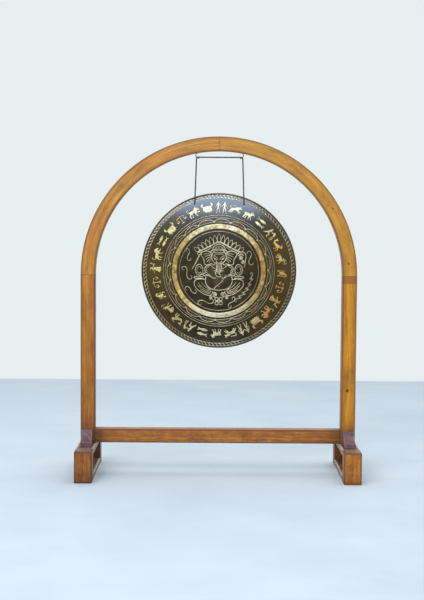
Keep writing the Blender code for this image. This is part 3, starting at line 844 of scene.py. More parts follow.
def disc_outline():
    """(radius, y, finish) round the section, from the front's middle to the back's."""
    marks = []
    for radius, width, height in TURNED_LINES:
        rise = ((-0.5, 0.0), (-0.28, 0.8), (0.0, 1.0), (0.28, 0.8), (0.5, 0.0))
        marks.append(([(radius + share * width, up * height) for share, up in rise], 3))
    start, end, height = BAND
    steps = ((0.0, 0.0), (0.35, 0.75), (0.9, 1.0))
    band = [(start + a * MM, up * height) for a, up in steps]
    band += [(start + (end - start) * i / 6, height) for i in range(1, 6)]
    band += [(end - a * MM, up * height) for a, up in reversed(steps)]
    marks.append((band, 1))
    marks.sort()
    outline = []
    radius = 0.0
    for mark, finish in marks + [([(GONG_FLAT, 0.0)], 0)]:
        count = max(1, round((mark[0][0] - radius) / (9 * MM)))
        for i in range(count):
            r = radius + (mark[0][0] - radius) * i / count
            outline.append((r, float(face_y(r)), 0))
        for r, up in mark[:-1]:
            outline.append((r, float(face_y(r)) - up, finish))
        radius = mark[-1][0]
    bend = 10
    edge_y = float(face_y(GONG_FLAT))
    inner = []
    for i in range(bend + 1):
        turn = math.pi / 2 * i / bend
        across, along = math.sin(turn), 1 - math.cos(turn)
        outline.append((GONG_FLAT + GONG_BEND * across, edge_y + GONG_BEND * along, 0))
        tight = GONG_BEND - GONG_WALL
        inner.append((GONG_FLAT + tight * across, edge_y + GONG_WALL + tight * along, 2))
    lip = GONG_WALL / 2
    for i in range(9):
        turn = math.pi * i / 8
        r = GONG_LIP - lip + lip * math.cos(turn)
        outline.append((r, GONG_HIGH.y - lip + lip * math.sin(turn), 0))
    outline += inner[::-1]
    grooves = 44
    for i in range(grooves):
        r = GONG_FLAT * (1 - (i + 1) / grooves)
        groove = 0.12 * MM * (i % 2)
        outline.append((r, float(face_y(r)) + GONG_WALL - groove, 2))
    return outline


def make_disc(looks):
    """The plate with its turned-back rim. An outline's point gives the look of the strip after it."""
    outline = disc_outline()
    bm = bmesh.new()
    spun(bm, outline, (0.0, 0.0, GONG_MIDDLE_Z), GONG_STEPS, axis=1)
    for i, face in enumerate(bm.faces):
        face.material_index = outline[i // GONG_STEPS][2]
    disc = piece("gong_disc", bm, looks, "gong", angle=30)
    drill_disc(disc)
    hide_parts("gong")


def drill_disc(disc):
    """Cuts the two hanging holes right through."""
    bm = bmesh.new()
    for x, z in HOLE_PLACES:
        turn = Matrix.Rotation(math.pi / 2, 4, "X")
        place = Matrix.Translation((x, 0.0, GONG_MIDDLE_Z + z)) @ turn
        sizes = {"radius1": HOLE_RADIUS, "radius2": HOLE_RADIUS, "depth": 12 * MM}
        bmesh.ops.create_cone(bm, cap_ends=True, segments=32, matrix=place, **sizes)
    drill = linked("drill", mesh_of("drill", bm))
    cut = disc.modifiers.new("holes", "BOOLEAN")
    cut.object = drill
    cut.solver = "EXACT"
    bpy.context.view_layer.update()
    done = disc.evaluated_get(bpy.context.evaluated_depsgraph_get())
    disc.data = bpy.data.meshes.new_from_object(done)
    disc.modifiers.clear()
    bpy.data.objects.remove(drill)


# Raised ornament: thin solids that lie on the gong's face. Drawings are in millimetres.


def distance_field(strokes, cell, blend):
    """Grid places and the distance to the strokes' outlines, negative inside.

    A stroke is a list of (x, y, half width). blend rounds the corners where strokes meet."""
    every = np.array([point for stroke in strokes for point in stroke])
    margin = every[:, 2].max() + 2 * cell
    low, high = every[:, :2].min(axis=0) - margin, every[:, :2].max(axis=0) + margin
    xs = np.arange(low[0], high[0] + cell, cell)
    ys = np.arange(low[1], high[1] + cell, cell)
    field = np.full((len(ys), len(xs)), 1e3)
    for stroke in strokes:
        for a, b in zip(stroke, stroke[1:] or stroke):
            reach = max(a[2], b[2]) + blend + 2 * cell
            left, right = sorted((a[0], b[0]))
            bottom, top = sorted((a[1], b[1]))
            i0, i1 = np.searchsorted(xs, (left - reach, right + reach))
            j0, j1 = np.searchsorted(ys, (bottom - reach, top + reach))
            x, y = xs[None, i0:i1] - a[0], ys[j0:j1, None] - a[1]
            dx, dy = b[0] - a[0], b[1] - a[1]
            share = np.clip((x * dx + y * dy) / max(dx * dx + dy * dy, 1e-9), 0.0, 1.0)
            near = np.hypot(x - share * dx, y - share * dy) - (a[2] + share * (b[2] - a[2]))
            part = field[j0:j1, i0:i1]
            if blend:
                turn = np.clip(0.5 + 0.5 * (near - part) / blend, 0.0, 1.0)
                part[:] = near * (1 - turn) + part * turn - blend * turn * (1 - turn)
            else:
                np.minimum(part, near, out=part)
    return xs, ys, field


def filled(xs, ys, field):
    """Marching squares: (points, depth inside, faces) of where the field is negative."""
    inside = field < 0
    corner = np.full(field.shape, -1)
    corner[inside] = np.arange(inside.sum())
    j, i = np.nonzero(inside)
    points = [np.column_stack((xs[i], ys[j]))]
    depths = [-field[inside]]
    count = len(i)

    def crossings(a, b, swap, at_a, at_b, count):
        share = np.clip(a[swap] / (a[swap] - b[swap]), 0.04, 0.96)[:, None]
        points.append(at_a + (at_b - at_a) * share)
        depths.append(np.zeros(len(share)))
        ids = np.full(swap.shape, -1)
        ids[swap] = np.arange(count, count + len(share))
        return ids, count + len(share)

    swap = inside[:, :-1] != inside[:, 1:]
    j, i = np.nonzero(swap)
    ends = np.column_stack((xs[i], ys[j])), np.column_stack((xs[i + 1], ys[j]))
    flat, count = crossings(field[:, :-1], field[:, 1:], swap, *ends, count)
    swap = inside[:-1] != inside[1:]
    j, i = np.nonzero(swap)
    ends = np.column_stack((xs[i], ys[j])), np.column_stack((xs[i], ys[j + 1]))
    upright, count = crossings(field[:-1], field[1:], swap, *ends, count)
    around = (
        corner[:-1, :-1], flat[:-1], corner[:-1, 1:], upright[:, 1:],
        corner[1:, 1:], flat[1:], corner[1:, :-1], upright[:, :-1],
    )
    table = np.stack([part.reshape(-1) for part in around], axis=1)
    table = table[(table >= 0).any(axis=1)]
    faces = [[int(v) for v in row if v >= 0] for row in table]
    return np.concatenate(points), np.concatenate(depths), faces


def on_gong(places, heights):
    """Frame coordinates of places on the face, given in millimetres, raised by heights."""
    x, z = places[:, 0] * MM, places[:, 1] * MM
    y = face_y(np.hypot(x, z)) - heights * MM
    return np.column_stack((x, y, z + GONG_MIDDLE_Z))


SUNK = -0.3  # a raised solid's underside, below the gong's face, in mm


def raised(name, sheets, look):
    """One closed thin solid per sheet, a sheet being (places, heights, faces)."""
    verts, faces, total = [], [], 0
    for places, heights, sheet in sheets:
        count = len(places)
        verts.append(on_gong(places, heights))
        verts.append(on_gong(places, np.full(count, SUNK)))
        ends = np.array([(a, b) for face in sheet for a, b in zip(face, face[1:] + face[:1])])
        codes = ends[:, 0] * count + ends[:, 1]
        rim = ends[~np.isin(codes, ends[:, 1] * count + ends[:, 0])] + total
        # Seen from the front X runs right and Z up, so faces that turn that way face front.
        faces += [[v + total for v in face] for face in sheet]
        faces += [[v + total + count for v in reversed(face)] for face in sheet]
        faces += [[b, a, a + count, b + count] for a, b in rim.tolist()]
        total += 2 * count
    mesh = bpy.data.meshes.new(name)
    mesh.from_pydata(np.concatenate(verts).tolist(), [], faces)
    mesh.validate()
    piece(name, mesh, look, "gong", angle=60)


def pillow(depths, height, soft):
    """Heights that rise from the outline like a rounded edge of radius soft."""
    share = np.clip(depths / soft, 0.0, 1.0)
    up = height * np.sqrt(1 - (1 - share) ** 2)
    return np.where(depths > 0, up, -0.03)


def sheet_of(strokes, cell, height, soft, blend=0.0):
    """A sheet of what the strokes cover, on a grid of cells, with its edges rounded over."""
    places, depths, faces = filled(*distance_field(strokes, cell, blend))
    return places, pillow(depths, height, soft), faces


# Drawing with strokes.


def line(width, *points):
    return [(x, y, width) for x, y in points]


def curve(width, *points, taper=1.0, steps=6):
    """A smooth stroke through the points, thinner towards its ends if taper is below 1."""
    route = smooth_route(points, steps)
    last = len(route) - 1
    widths = [width * (taper + (1 - taper) * math.sin(math.pi * i / last)) for i in range(last + 1)]
    return [(x, y, w) for (x, y), w in zip(route, widths)]


def arc(width, centre, radii, start, end, tilt=0.0, steps=28):
    """Part of an ellipse, from one angle to another in degrees."""
    points = []
    lean = math.radians(tilt)
    for i in range(steps + 1):
        turn = math.radians(start + (end - start) * i / steps)
        a, b = radii[0] * math.cos(turn), radii[1] * math.sin(turn)
        x = centre[0] + a * math.cos(lean) - b * math.sin(lean)
        y = centre[1] + a * math.sin(lean) + b * math.cos(lean)
        points.append((x, y, width))
    return points


def spiral(width, centre, radius, start, turns, steps=26):
    """A curl that tightens to a dot at its centre."""
    points = []
    for i in range(steps + 1):
        share = i / steps
        turn = math.radians(start) + 2 * math.pi * turns * share
        r = radius * (1 - 0.85 * share)
        grow = 1 + 0.5 * share**3
        points.append((centre[0] + r * math.cos(turn), centre[1] + r * math.sin(turn), width * grow))
    return points


def mirrored(strokes):
    return [[(-x, y, w) for x, y, w in stroke] for stroke in strokes]


def polar(radius, degrees):
    turn = math.radians(degrees)
    return radius * math.cos(turn), radius * math.sin(turn)


# The ring of figures. Each is drawn upright about (0, 0), its top towards the rim.


def person(x, out):
    """A standing figure at x, whose inner hand reaches out to the side given by out."""
    return [
        [(x, 19.0, 2.9)],
        [(x, 13.4, 3.7), (x, 5.6, 2.7), (x, -0.6, 3.1)],
        [(x - 1.5, -1.6, 2.5), (x - 4.0, -10.4, 1.7), (x - 5.4, -20.6, 1.1), (x - 7.6, -21.4, 1.0)],
        [(x + 1.5, -1.6, 2.5), (x + 4.0, -10.4, 1.7), (x + 5.4, -20.6, 1.1), (x + 7.6, -21.4, 1.0)],
        [(x - out * 3.6, 13.4, 1.7), (x - out * 7.2, 5.6, 1.3), (x - out * 9.8, -2.4, 1.0)],
        [(x + out * 3.6, 13.4, 1.7), (x + out * 6.8, 7.6, 1.3), (x + out * 12.2, 3.8, 1.0)],
    ]


def legs(pairs, width=1.5):
    """Legs as (hip x, hip y, knee x, knee y, foot x, foot y)."""
    made = []
    for hx, hy, kx, ky, fx, fy in pairs:
        thigh = [(hx, hy, width * 1.4), (kx, ky, width * 0.8)]
        made.append(thigh + [(fx, fy, width * 0.6), (fx + 1.6, fy - 0.3, width * 0.5)])
    return made


def twins():
    return person(-12.2, 1) + person(12.2, -1)


def bull():
    """Charging to the right, its tail thrown forward over its back."""
    tail = [(-16, 2, 1.3), (-21.6, 6, 1.1), (-21, 12.4, 1.0), (-13.6, 14.6, 1.0)]
    return [
        [(-12, -1, 5.4), (-3, 1, 4.8), (8, 5, 6.4)],
        [(12, 8, 4.4), (18, 9, 3.4), (22, 5.6, 2.0)],
        [(16.6, 12, 1.1), (19.6, 15.4, 0.9), (24, 15, 0.6)],
        tail + [(-6, 13.4, 1.2), (-1, 15.4, 1.6)],
        [(-14, -3, 3.2), (-20, -7.6, 1.8), (-24, -14, 1.2)],
        [(-11, -4, 3.0), (-12, -10.6, 1.7), (-17.4, -14.6, 1.1)],
        [(9, 0, 3.0), (15.4, -4.4, 1.7), (21.6, -9.6, 1.1)],
        [(6, -1, 3.0), (11, -8, 1.6), (17.6, -14.4, 1.1)],
    ]


def ram():
    standing = ((-10, -2, -11.5, -8, -13.5, -12.5), (-7, -2, -6, -8, -7, -13))
    stepping = ((5, -1, 8.5, -6.5, 11, -11), (3, -1, 2.5, -8, 3.5, -13))
    return [
        [(-9, 0, 4.4), (5, 1.6, 4.4)],
        [(8.5, 5, 3.0), (12.5, 6.2, 2.4), (15.5, 4, 1.4)],
        [(12, 8.4, 1.3), (9, 11, 1.2), (5.6, 9.4, 1.2), (6.4, 6.6, 1.0)],
        [(-13, 2.6, 1.6)],
    ] + legs(standing + stepping)


def fish(y, way):
    """One fish with its head on the side given by way."""
    body = [(13, y, 0.8), (7, y + 0.4, 3.4), (0, y, 4.0), (-7, y, 2.2), (-11.5, y, 1.0)]
    upper = [(-11, y, 1.0), (-17, y + 3.6, 1.3)]
    lower = [(-11, y, 1.0), (-16, y - 3.4, 1.2)]
    return [[(way * x + way * 1.5, v, w) for x, v, w in stroke] for stroke in (body, upper, lower)]


def two_fish():
    return fish(7.2, 1) + fish(-6.6, -1)


def water_bearer():
    return [
        [(-4, 12.4, 2.3)],
        [(-4.5, 8.4, 2.9), (-7, 1, 2.9)],
        [(-7, -1, 2.6), (0, -3.4, 1.9), (-1, -13, 1.1), (1.5, -13.6, 1.0)],
        [(-8, -1, 2.4), (-12, -7, 1.6), (-16.5, -11.5, 1.1)],
        [(-3, 8, 1.5), (3, 6, 1.3), (8, 9, 1.1)],
        [(10, 10, 3.2), (12.4, 5.8, 2.6), (14, 3, 1.4)],
        [(14.2, 0, 0.9), (15.8, -6, 1.0), (14.6, -12.5, 1.3)],
        [(11, 1, 0.7), (11.6, -6, 0.8), (9.4, -12.5, 1.1)],
    ]


def sea_goat():
    return [
        [(4, 3, 4.2), (-4, -1, 3.8), (-11, -3.6, 2.6), (-16.4, 0.6, 1.6), (-15, 6, 1.3), (-18, 9.4, 1.8)],
        [(-15, 6, 1.3), (-12, 9, 1.6)],
        [(7, 7, 2.8), (10, 10.4, 2.3), (13.8, 8.6, 1.3)],
        [(8.4, 12, 1.0), (5, 14.6, 0.8), (0.6, 14, 0.6)],
        [(11.4, 7, 0.8), (11, 4, 0.5)],
    ] + legs(((6, 0, 11.5, -4, 10, -11), (3, 0, 5, -6.5, 2.5, -12.6)))


def archer():
    standing = ((-12, -4, -14, -9, -12, -14), (-9, -4, -7.4, -9.4, -9, -14))
    stepping = ((1, -4, 2.8, -9.4, 1, -14), (3, -3, 9, -5.6, 11.4, -10.6))
    return [
        [(-11, -1.6, 4.2), (2, -0.8, 4.0), (4.6, 3, 2.8), (5.4, 8.4, 2.4)],
        [(6, 12.8, 2.1)],
        [(6, 8.8, 1.2), (15.4, 8.8, 0.9)],
        [(5, 8.4, 1.2), (-0.6, 8.2, 1.0), (3, 10, 0.8)],
        [(13, 15.4, 0.6), (17, 12, 0.8), (17.6, 6, 0.8), (14, 2, 0.6)],
        [(-15, 0.6, 1.2), (-18.4, -3, 1.3), (-17.8, -10, 0.8)],
    ] + legs(standing + stepping)


def scorpion():
    half = [
        [(-2.4, -5, 1.2), (-6.8, -7.4, 1.3), (-7.4, -12, 1.8), (-4.4, -14.4, 0.8)],
        [(-2.8, -2.4, 0.8), (-8, -1.4, 0.7), (-10, -4.4, 0.5)],
        [(-2.8, 0.4, 0.8), (-8, 2.4, 0.7), (-10.6, 0.2, 0.5)],
        [(-2.2, 3, 0.8), (-6.6, 6.2, 0.7), (-9.6, 5, 0.5)],
    ]
    tail = [(0, -5, 3.2), (0, 0, 3.8), (0, 5, 2.4), (2, 9.6, 1.8), (6, 12.6, 1.7)]
    tail += [(9.8, 10.4, 1.5), (9.4, 6.6, 1.0), (7.4, 6, 0.6)]
    return half + mirrored(half) + [tail]


def scales():
    half = [
        [(0, 9.6, 1.0), (-13.6, 8.6, 0.9)],
        [(-13.6, 8.6, 0.5), (-17.4, -1, 0.5)],
        [(-13.6, 8.6, 0.5), (-9.4, -1, 0.5)],
        [(-17.8, -1.6, 0.9), (-13.4, -4.4, 1.9), (-9, -1.6, 0.9)],
    ]
    return half + mirrored(half) + [[(0, -11, 1.2), (0, 12.6, 1.1)], [(-5, -12, 1.3), (5, -12, 1.3)]]


def maiden():
    """A figure in a wide gown, with a sheaf in the raised hand."""
    return [
        [(-1, 19.4, 3.3)],
        [(-4, 18.4, 1.6), (-9.4, 21.4, 1.2)],
        [(-1, 13.4, 4.2), (-1.6, 6, 3.4), (-2, -3, 6.4), (-2.4, -13, 8.2)],
        [(-8, -18, 2.2), (5, -18, 2.2)],
        [(-10, -11, 2.4), (-14, -17, 1.6)],
        [(2, 12.6, 2.2), (9, 6.6, 1.7), (15, 12, 1.5)],
        [(18.4, 19.4, 2.6), (16, 12.6, 1.2), (14.6, 1, 0.8)],
        [(-4.4, 12, 2.0), (-10.4, 6, 1.6), (-15.6, 3.4, 1.5), (-18.4, 6.4, 1.1)],
    ]


def lion():
    """Striding to the right, mane full and tail up."""
    return [
        [(-12, 1.4, 5.6), (2, 2.4, 5.6)],
        [(10.6, 8.6, 8.0)],
        [(17, 8.4, 4.2), (21.4, 5.4, 2.3)],
        [(9, -1, 3.4), (18, -4.6, 2.1), (24, -3.4, 1.7)],
        [(-17, 3, 1.6), (-23, 5.6, 1.2), (-24.4, 12.4, 1.2), (-19.6, 16, 2.2)],
        [(-13, -2, 3.4), (-18.6, -9.6, 1.9), (-17, -17, 1.3), (-14.4, -17.4, 1.2)],
        [(-10, -2, 3.2), (-7, -9.6, 1.8), (-9, -17, 1.3), (-6.4, -17.4, 1.2)],
        [(5, -2, 3.0), (6.4, -10.4, 1.8), (9.6, -17, 1.3), (12, -17.4, 1.2)],
    ]


def crab():
    half = [
        [(11, 4, 2.6), (17, 6.4, 2.2), (20, 10.4, 3.4), (17.6, 17.4, 2.0), (13.4, 20.4, 0.9)],
        [(20, 10.4, 2.2), (22.6, 15.4, 1.2)],
        [(16, -9, 1.2), (20.6, -13.6, 0.7)],
        [(11.4, -13, 1.2), (14, -18.4, 0.7)],
        [(4.4, -14.4, 1.2), (5.4, -19, 0.7)],
    ]
    return [[(-6, -3.4, 11.6), (6, -3.4, 11.6)]] + half + mirrored(half)


def scaled(strokes, factor):
    return [[(x * factor, y * factor, w * factor) for x, y, w in stroke] for stroke in strokes]


ROUND = (twins, bull, ram, two_fish, water_bearer, sea_goat, archer, scorpion, scales, maiden, lion)
FIGURES = ROUND + (crab,) + ROUND + (two_fish, crab, scales, lion, crab)
FIRST_FIGURE = 88.0  # degrees, from +X towards +Z
# How much larger than drawn some of them are.
GROWN = {ram: 1.3, two_fish: 1.3, water_bearer: 1.32, sea_goat: 1.3, archer: 1.2, scorpion: 1.3, scales: 1.2}


def make_figures(look):
    drawn = {}
    for draw in FIGURES:
        if draw not in drawn:
            strokes = scaled(draw(), GROWN.get(draw, 1.0))
            drawn[draw] = sheet_of(strokes, cell=0.82, height=0.45, soft=0.9, blend=1.2)
    sheets = []
    for i, draw in enumerate(FIGURES):
        places, heights, faces = drawn[draw]
        turn = math.radians(FIRST_FIGURE - i * 360 / len(FIGURES))
        out = np.array((math.cos(turn), math.sin(turn)))
        right = np.array((out[1], -out[0]))
        there = places[:, :1] * right + (places[:, 1:] + FIGURE_RADIUS / MM) * out
        sheets.append((there, heights, faces))
    raised("gong_zodiac_figures", sheets, look)


def make_scallops(look):
    """A row of low arches whose feet meet in forked joints, each with a fainter one inside."""
    step = 360 / SCALLOPS
    strokes = []
    for k in range(SCALLOPS):
        start = FIRST_SCALLOP - k * step
        for low, high, margin, width in ((2.0, 10.6, 0.0, 1.25), (0.6, 5.2, 0.18, 0.30)):
            stroke = []
            for i in range(25):
                share = margin + (1 - 2 * margin) * i / 24
                radius = SCALLOP_FOOT + low + high * (1 - abs(2 * share - 1) ** 3.0)
                stroke.append((*polar(radius, start - share * step), width))
            strokes.append(stroke)
        strokes.append([(*polar(SCALLOP_FOOT, start), 1.7), (*polar(SCALLOP_FOOT + 5.6, start), 1.2)])
    raised("gong_scallop_band", [sheet_of(strokes, cell=0.55, height=0.35, soft=0.6)], look)


def make_rope(look):
    """A plate ring pierced by slanting oval dashes, with a raised line along each edge.

    Each dash has a cell of the ring. Places in a cell are -1 to 1 across it and millimetres out."""
    middle = ROPE_RADIUS / MM
    half_pitch = math.pi * middle / ROPE_DASHES
    half_height = 5.1  # of a cell, less the raised lines
    half_dash = (6.0, 4.9)  # along the ring and outwards
    plate, ridge, sunk = 0.35, 0.42, -0.05  # heights above the gong's face
    lean = 0.84  # the dashes' sideways run for each step outwards
    side = 6  # points along each side of a cell
    steps = [-1 + 2 * i / side for i in range(side + 1)]
    box = [(a, -1) for a in steps[:-1]] + [(1, b) for b in steps[:-1]]
    box += [(-a, -b) for a, b in box]
    places, heights, faces = [], [], []
    made = {}

    def put(s, up, height):
        turn = (s - lean * up) / middle
        places.append(((middle + up) * math.sin(turn), (middle + up) * math.cos(turn)))
        heights.append(height)
        return len(places) - 1

    def shared(k, a, up, height):
        """A point of cell k, which the neighbour may have made if it lies on their border."""
        column = (k + (a > 0)) % ROPE_DASHES if abs(a) > 0.999 else (k, round(a, 3))
        key = column, round(up, 3)
        if key not in made:
            made[key] = put((2 * k + a) * half_pitch, up, height)
        return made[key]

    for k in range(ROPE_DASHES):
        loops = [[shared(k, a, b * half_height, plate) for a, b in box]]
        outer = loops[0]
        for scale, height in ((1.0, plate), (0.98, 0.22), (0.96, sunk)):
            loop = []
            for a, b in box:
                turn = math.atan2(b, a)
                ca, sa = math.cos(turn), math.sin(turn)
                s = half_dash[0] * scale * math.copysign(abs(ca) ** 0.9, ca)
                up = half_dash[1] * scale * math.copysign(abs(sa) ** 0.8, sa)
                loop.append(put(2 * k * half_pitch + s, up, height))
            loops.append(loop)
        for low, high in zip(loops, loops[1:]):
            for i in range(len(box)):
                faces.append([high[i], high[i - 1], low[i - 1], low[i]])
        for way in (-1, 1):
            first = side * (1 + way)
            row = [outer[(first + i) % len(outer)] for i in range(side + 1)]
            for up, height in ((5.4, ridge), (6.0, ridge), (6.4, sunk)):
                new = [shared(k, -way * a, way * up, height) for a in steps]
                for i in range(side):
                    faces.append([new[i], new[i + 1], row[i + 1], row[i]])
                row = new
    raised("gong_rope_border", [(np.array(places), np.array(heights), faces)], look)


# The medallion: a seated elephant figure under a lotus arch, with scrolls to both sides.

BOLD, PLAIN, FINE = 2.2, 1.45, 0.95


def plain(*points):
    return curve(PLAIN, *points)


def fine(*points):
    return curve(FINE, *points)


def petal(foot, lean, length, width, weight):
    """A pointed petal's outline, standing on foot and leaning by an angle from upright."""
    turn = math.radians(lean)
    up = np.array((math.sin(turn), math.cos(turn)))
    across = np.array((up[1], -up[0]))
    made = []
    for side in (-1, 1):
        places = ((0.34, 0.0), (0.5, 0.34), (0.34, 0.72), (0.0, 1.0))
        made.append(curve(weight, *[foot + across * side * a * width + up * b * length for a, b in places]))
    return made


def lotus_arch():
    """The arch over the figure's head, and the petals that stand on it."""
    crest = curve(BOLD, (-80, 74), (-56, 84), (-30, 97), (0, 111), (30, 97), (56, 84), (80, 74))
    under = fine((-70, 71), (-50, 78), (-29, 90))
    strokes = [crest, under, *mirrored([under])]
    count = 6
    for k in range(-count, count + 1):
        share = k / count
        foot = (78 * share, 111 - 35 * abs(share) ** 1.15)
        strokes += petal(foot, 52 * share, 33 - 11 * abs(share), 14.5, 0.95)
    return strokes


def elephant_head():
    folds = (
        (62, (-42, 66), (-58, 64)), (57, (-42, 59), (-55, 54)), (52, (-40, 51), (-50, 44)),
        (47, (-38, 43), (-46, 35)), (42, (-35, 38), (-39, 31)),
    )
    half = [
        arc(PLAIN, (0, 54), (28, 27), 180, 268, steps=14),
        arc(PLAIN, (0, 54), (28, 27), 128, 180, steps=8),
        fine((-19, 69), (-9, 71.6), (0, 71)),
        fine((-16, 63), (-8, 65.4), (0, 65)),
        fine((-24, 57), (-16, 57.6), (-8, 51), (-4, 44)),
        # Eye.
        [(-20.6, 50.6, 0.7), (-15.6, 46.6, 2.4), (-9.6, 42.4, 1.0)],
        # Crown: domes, bands and a side plume.
        arc(PLAIN, (0, 80), (24, 22), 90, 180, steps=12),
        arc(FINE, (0, 80), (17, 14), 90, 180, steps=10),
        plain((-25, 80), (-12, 83.5), (0, 84)),
        fine((-23, 75.6), (-12, 78.4), (0, 79)),
        plain((-24, 80), (-32, 74), (-30, 66)),
        # Ear, with folds that fan out from its root.
        plain((-28, 68), (-44, 76), (-64, 72), (-68, 60), (-58, 44), (-56, 28), (-44, 23), (-27, 28)),
        *(fine((-30, y), *fold) for y, *fold in folds),
        # Tusk.
        curve(1.8, (-13, 31), (-19, 24), (-25, 24), taper=0.4),
    ]
    trunk = [
        plain((-9, 38), (-10, 24), (-8, 8), (-13, -8), (-9, -20), (1, -24), (8, -20)),
        plain((9, 38), (10, 24), (10, 8), (5, -4), (2, -12), (6, -15)),
    ]
    for k in range(9):
        y = 34 - 5.2 * k
        trunk.append(fine((-8.6, y), (0, y - 2.4), (9.4 - 0.7 * k, y)))
    return half + mirrored(half) + trunk + [[(0, 103, 2.6)], [(0, 90, 2.0)]]


def seated_body():
    knee = (-94, -56), (-80, -74), (-56, -90)
    half = [
        # Shoulder, arm and bracelet.
        arc(PLAIN, (-38, 6), (17, 16), 70, 250, steps=16),
        arc(FINE, (-38, 6), (11, 10), 90, 230, steps=10),
        plain((-54, -8), (-62, -14), (-54, -19), (-40, -18), (-30, -22)),
        fine((-52, -13), (-45, -13.6), (-36, -14)),
        arc(PLAIN, (-76, 4), (14.5, 21), 0, 360, steps=30),
        arc(FINE, (-76, 4), (8.5, 13), 20, 320, steps=18),
        line(PLAIN, (-93, -22), (-62, -22)),
        line(PLAIN, (-93, -29), (-60, -29)),
        plain((-93, -22), (-96, -25.5), (-93, -29)),
        # Necklace and the round belly.
        fine((-30, 20), (-18, 10), (-11, 7)),
        plain((-50, -24), (-52, -40), (-44, -58), (-28, -70), (0, -75)),
        plain((-33, -20), (-22, -27), (-12, -28)),
        # Folded leg with its fan of creases.
        plain((-54, -33), (-74, -31), (-92, -38), *knee, (-36, -95), (-24, -86), (-24, -78)),
        fine((-30, -80), (-52, -72), (-70, -58), (-80, -46)),
        fine((-32, -84), (-52, -79), (-70, -67), (-82, -55)),
        fine((-34, -88), (-54, -84), (-72, -73)),
        fine((-30, -76), (-46, -66), (-60, -53), (-66, -44)),
        fine((-32, -73), (-42, -63), (-50, -50)),
        # Curls under the seat.
        spiral(PLAIN, (-13, -92), 8.5, 250, -1.4),
        plain((-24, -84), (-18, -84), (-12, -84)),
        spiral(PLAIN, (-30, -103), 6.6, 80, 1.3),
        plain((-29, -96.5), (-20, -99), (-12, -103)),
    ]
    middle = [
        fine((28, -14), (12, -40), (-8, -58), (-18, -68)),
        fine((-18, 2), (0, -4), (18, 2)),
        [(0, -60, 1.3)],
        arc(PLAIN, (0, -117), (4.6, 4.6), 0, 360, steps=16),
    ]
    for k in range(4):
        x, y = polar(11.5, 45 + 90 * k)
        middle.append(arc(PLAIN, (x, y - 117), (6.4, 6.4), 0, 360, steps=18))
    return half + mirrored(half) + middle


def raised_arms():
    """What the two upper hands hold: a bud on a tapered staff, and a bent stem."""
    left = [
        [(-76, 58, 2.6), (-88, 34, 2.0), (-103, 6, 1.3)],
        plain((-84, 66), (-76, 62), (-68, 64), (-72, 70), (-84, 72)),
        plain((-82, 72), (-74, 78), (-66, 76)),
    ]
    right = [
        plain((70, 64), (80, 72), (96, 72), (104, 60), (102, 40), (98, 16)),
        plain((74, 58), (86, 66), (94, 60)),
        spiral(PLAIN, (84, 50), 8, 120, -1.5),
        spiral(PLAIN, (92, 36), 7, 200, 1.4),
    ]
    return left + right


def scroll(centre, size, lean, curls=1.5, weight=PLAIN):
    """An S-shaped scroll, curled tighter and tighter towards both ends."""
    steps = 26
    half = [np.zeros(2)]
    for i in range(steps):
        turn = math.pi * curls * ((i + 0.5) / steps) ** 2
        half.append(half[-1] + np.array((math.cos(turn), math.sin(turn))))
    route = np.array([-place for place in half[:0:-1]] + half)
    route *= size / np.ptp(route, axis=0).max()
    lean = math.radians(lean)
    along, up = np.array((math.cos(lean), math.sin(lean))), np.array((-math.sin(lean), math.cos(lean)))
    stroke = []
    for i, (a, b) in enumerate(route):
        thin = 0.55 + 0.45 * math.sin(math.pi * i / (2 * steps))
        stroke.append((*(centre + a * along + b * up), weight * thin))
    return stroke


def scrollwork():
    """Scrolls round the figure, small ones in a row along the lower right."""
    made = [
        scroll((-118, 62), 38, 62),
        scroll((-123, -8), 46, 84, 1.6),
        scroll((-108, -74), 38, 118),
        scroll((-50, -120), 50, -30, 1.7),
        scroll((50, -121), 36, 25, 1.7),
        scroll((120, 50), 44, 62, 1.3),
    ]
    for k in range(6):
        angle = -9 - 9.4 * k
        made.append(scroll(polar(129, angle), 23, angle + 65, 1.7, 1.2))
    return made


def make_medallion(look):
    figure = lotus_arch() + elephant_head() + seated_body() + raised_arms()
    for name, strokes in (("figure", figure), ("scrolls", scrollwork())):
        sheet = sheet_of(strokes, cell=0.64, height=0.4, soft=0.65)
        raised(f"gong_medallion_{name}", [sheet], look)


def off_middle(look, place):
    """How far out on the gong a place is, and its share of the way out sideways, with its sign."""
    middle = look.vector("ADD", place, (0.0, 0.0, -GONG_MIDDLE_Z))
    radius = look.vector("LENGTH", look.vector("MULTIPLY", middle, (1.0, 0.0, 1.0)))
    return radius, look.times(look.axis(place, 0), 1 / GONG_RADIUS)


